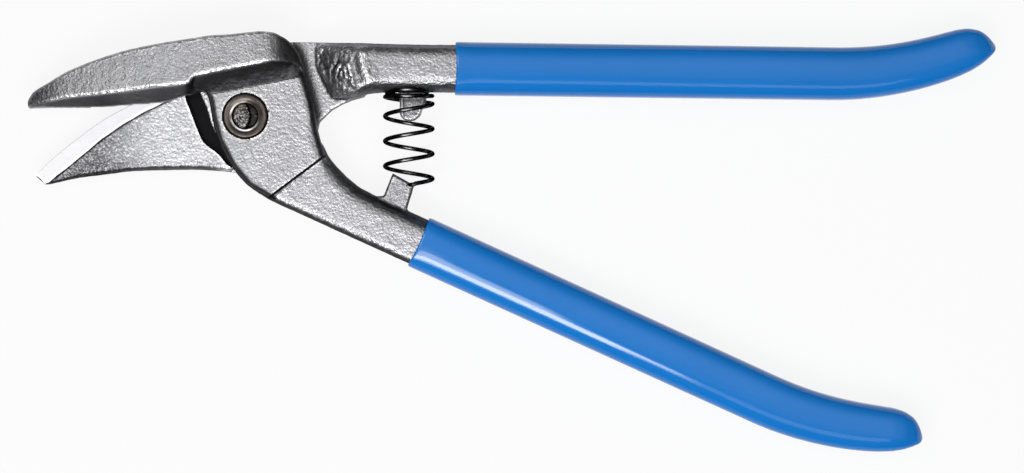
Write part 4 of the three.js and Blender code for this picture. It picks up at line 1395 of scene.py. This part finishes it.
# radius and depth under the top, from the outer rim to the lip round the bore
nut_face = [(nut_radius, 0.45), (nut_radius - 0.12, 0.15), (nut_radius - 0.38, 0), (5.1, 0), (4.9, 0),
            (4.65, 0.03), (4.45, 0.05), (4.2, 0.15), (4.05, 0.17), (3.94, 0.15), (3.76, 0.105),
            (3.58, 0.06), (nut_bore + 0.03, 0.08), (nut_bore, 0.15)]
nut = to_object("pivot_nut_turned", spun(
    [(nut_bore, nut_bottom), (nut_radius - 0.3, nut_bottom), (nut_radius, nut_bottom + 0.3)]
    + [(radius, nut_top - down) for radius, down in nut_face] + [(nut_bore, nut_bottom)], 96))
carve(nut, post(*stake))
paint_bend(nut.data, 0)
x, y, z = read_shape(nut.data)[0].T
radius = np.hypot(x, y)
on_top = z > nut_top - 0.35
# Painted highlights on the lip round the bore, at its lower and upper left.
low_lip = fade(-y - 0.1 * x, 0.7, 1.9) * peak(radius, 3.7, 0.2)
high_lip = fade(y - 0.75 * x, 3.0, 3.9) * peak(radius, 3.76, 0.2)
paint(nut.data, "ground_and_highlight", np.maximum(low_lip, 0.85 * high_lip) * on_top)
# Painted shade on the nut's sides, on the right and lower part of its ring, in a band on its upper part and
# in a line round its rim.
right_band = fade(x, 0.5, 2.2) * (0.35 + 0.4 * fade(radius, 4.9, 4.5))
low_band = fade(-y, 0.4, 2.6) * np.maximum(0.8 * peak(radius, 4.35, 0.45), 0.5)
upper_band = 0.6 * fade(y, 2.5, 4) * peak(radius, 5.0, 0.3)
rim_line = 0.6 * peak(radius, 5.3, 0.12)
paint(nut.data, "painted_shade", darkest(0.9 * (1 - on_top), right_band, low_band, upper_band, rim_line))
finish_piece(nut, "front_half", "pivot_nut", "browned_steel", sharp=35)

# %% [markdown]
# The return spring is a wire coil: a hook in the lug's hole, open turns, then closed turns under the shank.
# It is a loft along its own helix. It hangs between the lug of the front half and the peg of the rear half,
# and it is not fixed to either body. The table of the closed turns gives their number and the share of their
# height that they have climbed.

# %% Return spring
wire_radius = 0.56
coil_radius = 6.2
open_turns = 3.25
closed_height = 2.54
closed_shares = [[0, 0], [0.25, 0.39], [0.5, 0.7], [0.75, 0.73], [1, 0.8], [1.25, 0.92], [1.5, 1.02],
                 [1.75, 1.39], [1.93, 1.18]]
closed_nesting = 0.5
closed_turns = closed_shares[-1][0]
coil_top = peg_foot - wire_radius
open_height = coil_top - closed_height - hook.y
turn_steps = 36
wire_sides = 14
hook_bend = 1.3
hook_depth = 1.6
closed_rows = rows_between(closed_shares, 1 / turn_steps)


def coil_point(turns):
    angle = 2 * math.pi * turns
    closing = float(np.interp(max(0.0, turns - open_turns), closed_rows[:, 0], closed_rows[:, 1]))
    climb = open_height * min(turns, open_turns) / open_turns + closed_height * closing
    radius = coil_radius - closed_nesting * float(fade(turns - open_turns, 0.9, 1.3))
    x, z = spring_reach + radius * math.sin(angle), mid_height + radius * math.cos(angle)
    return Vector((x, hook.y + climb, z))


front = mid_height + coil_radius
lug_face = mid_height + lug_thickness / 2
route = [Vector((hook.x, hook.y, height)) for height in (lug_face - hook_depth, lug_face, front - hook_bend)]
bend = arc(hook.x + hook_bend, front - hook_bend, hook_bend, 180, 90, 4)
route += [Vector((x, hook.y, z)) for x, z in bend[1:4]]
first = (hook_aside + hook_bend) / (2 * math.pi * coil_radius)
steps = range(round((open_turns + closed_turns) * turn_steps) + 1)
route += [coil_point(k / turn_steps) for k in steps if k / turn_steps > first]

wire_sections = []
wire_ring = arc(0, 0, wire_radius, 0, 360, wire_sides)[:-1]
aside = Vector((1, 0, 0))
for k, point in enumerate(route):
    ahead = (route[min(k + 1, len(route) - 1)] - route[max(k - 1, 0)]).normalized()
    aside = (aside - ahead * aside.dot(ahead)).normalized()
    other = ahead.cross(aside)
    wire_sections.append([point + aside * right + other * up for right, up in wire_ring])
spring = to_object("coil_spring", loft(wire_sections))
places, normals = read_shape(spring.data)
from_axis = places[:, 0] - spring_reach
# Painted highlights where the turns face straight up or down, and at their left ends.
turn_highlight = fade(np.abs(normals[:, 2]), 0.7, 0.95) * peak(from_axis, -0.5, 0.75)
paint(spring.data, "ground_and_highlight", np.maximum(turn_highlight, 0.7 * fade(-from_axis, coil_radius - 0.3, coil_radius + 0.3)))
finish_piece(spring, None, "return_spring", "blacked_wire", sharp=50)
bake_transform(spring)

# %% [markdown]
# Each grip is a skin of plastic that the handle was dipped into. It is one loft: up the inside from the end
# of the tang to the mouth, over a rolled lip, and along the outside to a small drip at the end. The mouth is
# slightly hollow in the middle, where the plastic pulled back as it set. Its reflections are painted: a
# painted reflection streak on the lower grip, wide at the mouth and running out along the handle, stronger
# reflections on the far side of each grip, faint ones on the near side, and weak ones elsewhere.

# %% Grips
mouth_hollow = 0.5
hollow_reach = 4.5
grip_points = 64
grip_end = 0.9985
grip_turn_in = 0.9  # from this share on the rings stand closer together
bore_squareness = 3.9
bore_places = (120, 100, 80, 60, 40, 20, 6, 1.5)
# distance from the mouth, how far it is drawn in, and squareness, round the lip
lip = [(0.5, 0.6, 4.3), (0.12, 0.5, 4.1), (0.0, 0.34, 3.8), (0.06, 0.16, 3.6), (0.3, 0.04, 3.4),
       (0.8, 0.0, 3.3)]
streak_reach = (56, 139)
streak_start_width = 0.17
streak_tilt = -0.22


def grip(name, line):
    bore = [grip_length - tang_end_gap + grip_clearance, *bore_places]
    rings = [(along / grip_length, grip_wall, bore_squareness) for along in bore]
    rings += [(along / grip_length, drawn_in, squareness) for along, drawn_in, squareness in lip]
    for share in [2 / grip_length, 4 / grip_length, *np.linspace(0.05, grip_turn_in, 50),
                  *np.linspace(grip_turn_in, grip_end, 26)[1:]]:
        rounding = 0.3 * float(fade(share * grip_length, 4, 1)) + 0.3 * float(fade(share, 0.2, 0.6))
        rings.append((share, 0.0, 2.9 + rounding))
    bm = loft([bar_ring(line, *ring, grip_points) for ring in rings])
    x, y, heading = line(mouth_reach)
    along = Vector((math.cos(heading), math.sin(heading), 0))
    across = Vector((-along.y, along.x, 0))
    for vert in bm.verts:
        offset = vert.co / MM - Vector((x, y, 0))
        aside = offset.dot(across) / grip_half_width
        pull = mouth_hollow * (1 - min(1.0, aside**2)) * float(fade(offset.dot(along), hollow_reach, 0.0))
        vert.co += along * pull * MM
    if line is lower_line:
        lowered(bm)
    return to_object(name, bm)


upper_grip = grip("upper_dipped_grip", upper_line)
lower_grip = grip("lower_dipped_grip", lower_line)
# Painted reflection: strong in the lower grip's streak, partly on each grip's far side, faint on its near
# side.
for piece, turn, start_width in ((upper_grip, 0.0, 0.0), (lower_grip, handle_angle, streak_start_width)):
    places, normals = read_shape(piece.data)
    along_handle = places[:, 0] * math.cos(turn) - places[:, 1] * math.sin(turn)
    facing_up = normals[:, 0] * math.sin(turn) + normals[:, 1] * math.cos(turn)
    width = np.interp(along_handle, streak_reach, (start_width, 0))
    streak = fade(np.abs(facing_up - streak_tilt), width + 0.03, width)
    streak *= (width > 0.001) * (normals[:, 2] > 0.5)
    far_side = 0.35 * fade(facing_up, -0.12, 0.05)
    near_side = 0.12 * fade(facing_up, -0.4, -0.6)
    paint(piece.data, "painted_reflection", np.maximum.reduce([far_side, near_side, streak]))
finish_piece(upper_grip, "rear_half", "upper_grip", "blue_dip", sharp=60)
finish_piece(lower_grip, "front_half", "lower_grip", "blue_dip", sharp=60)
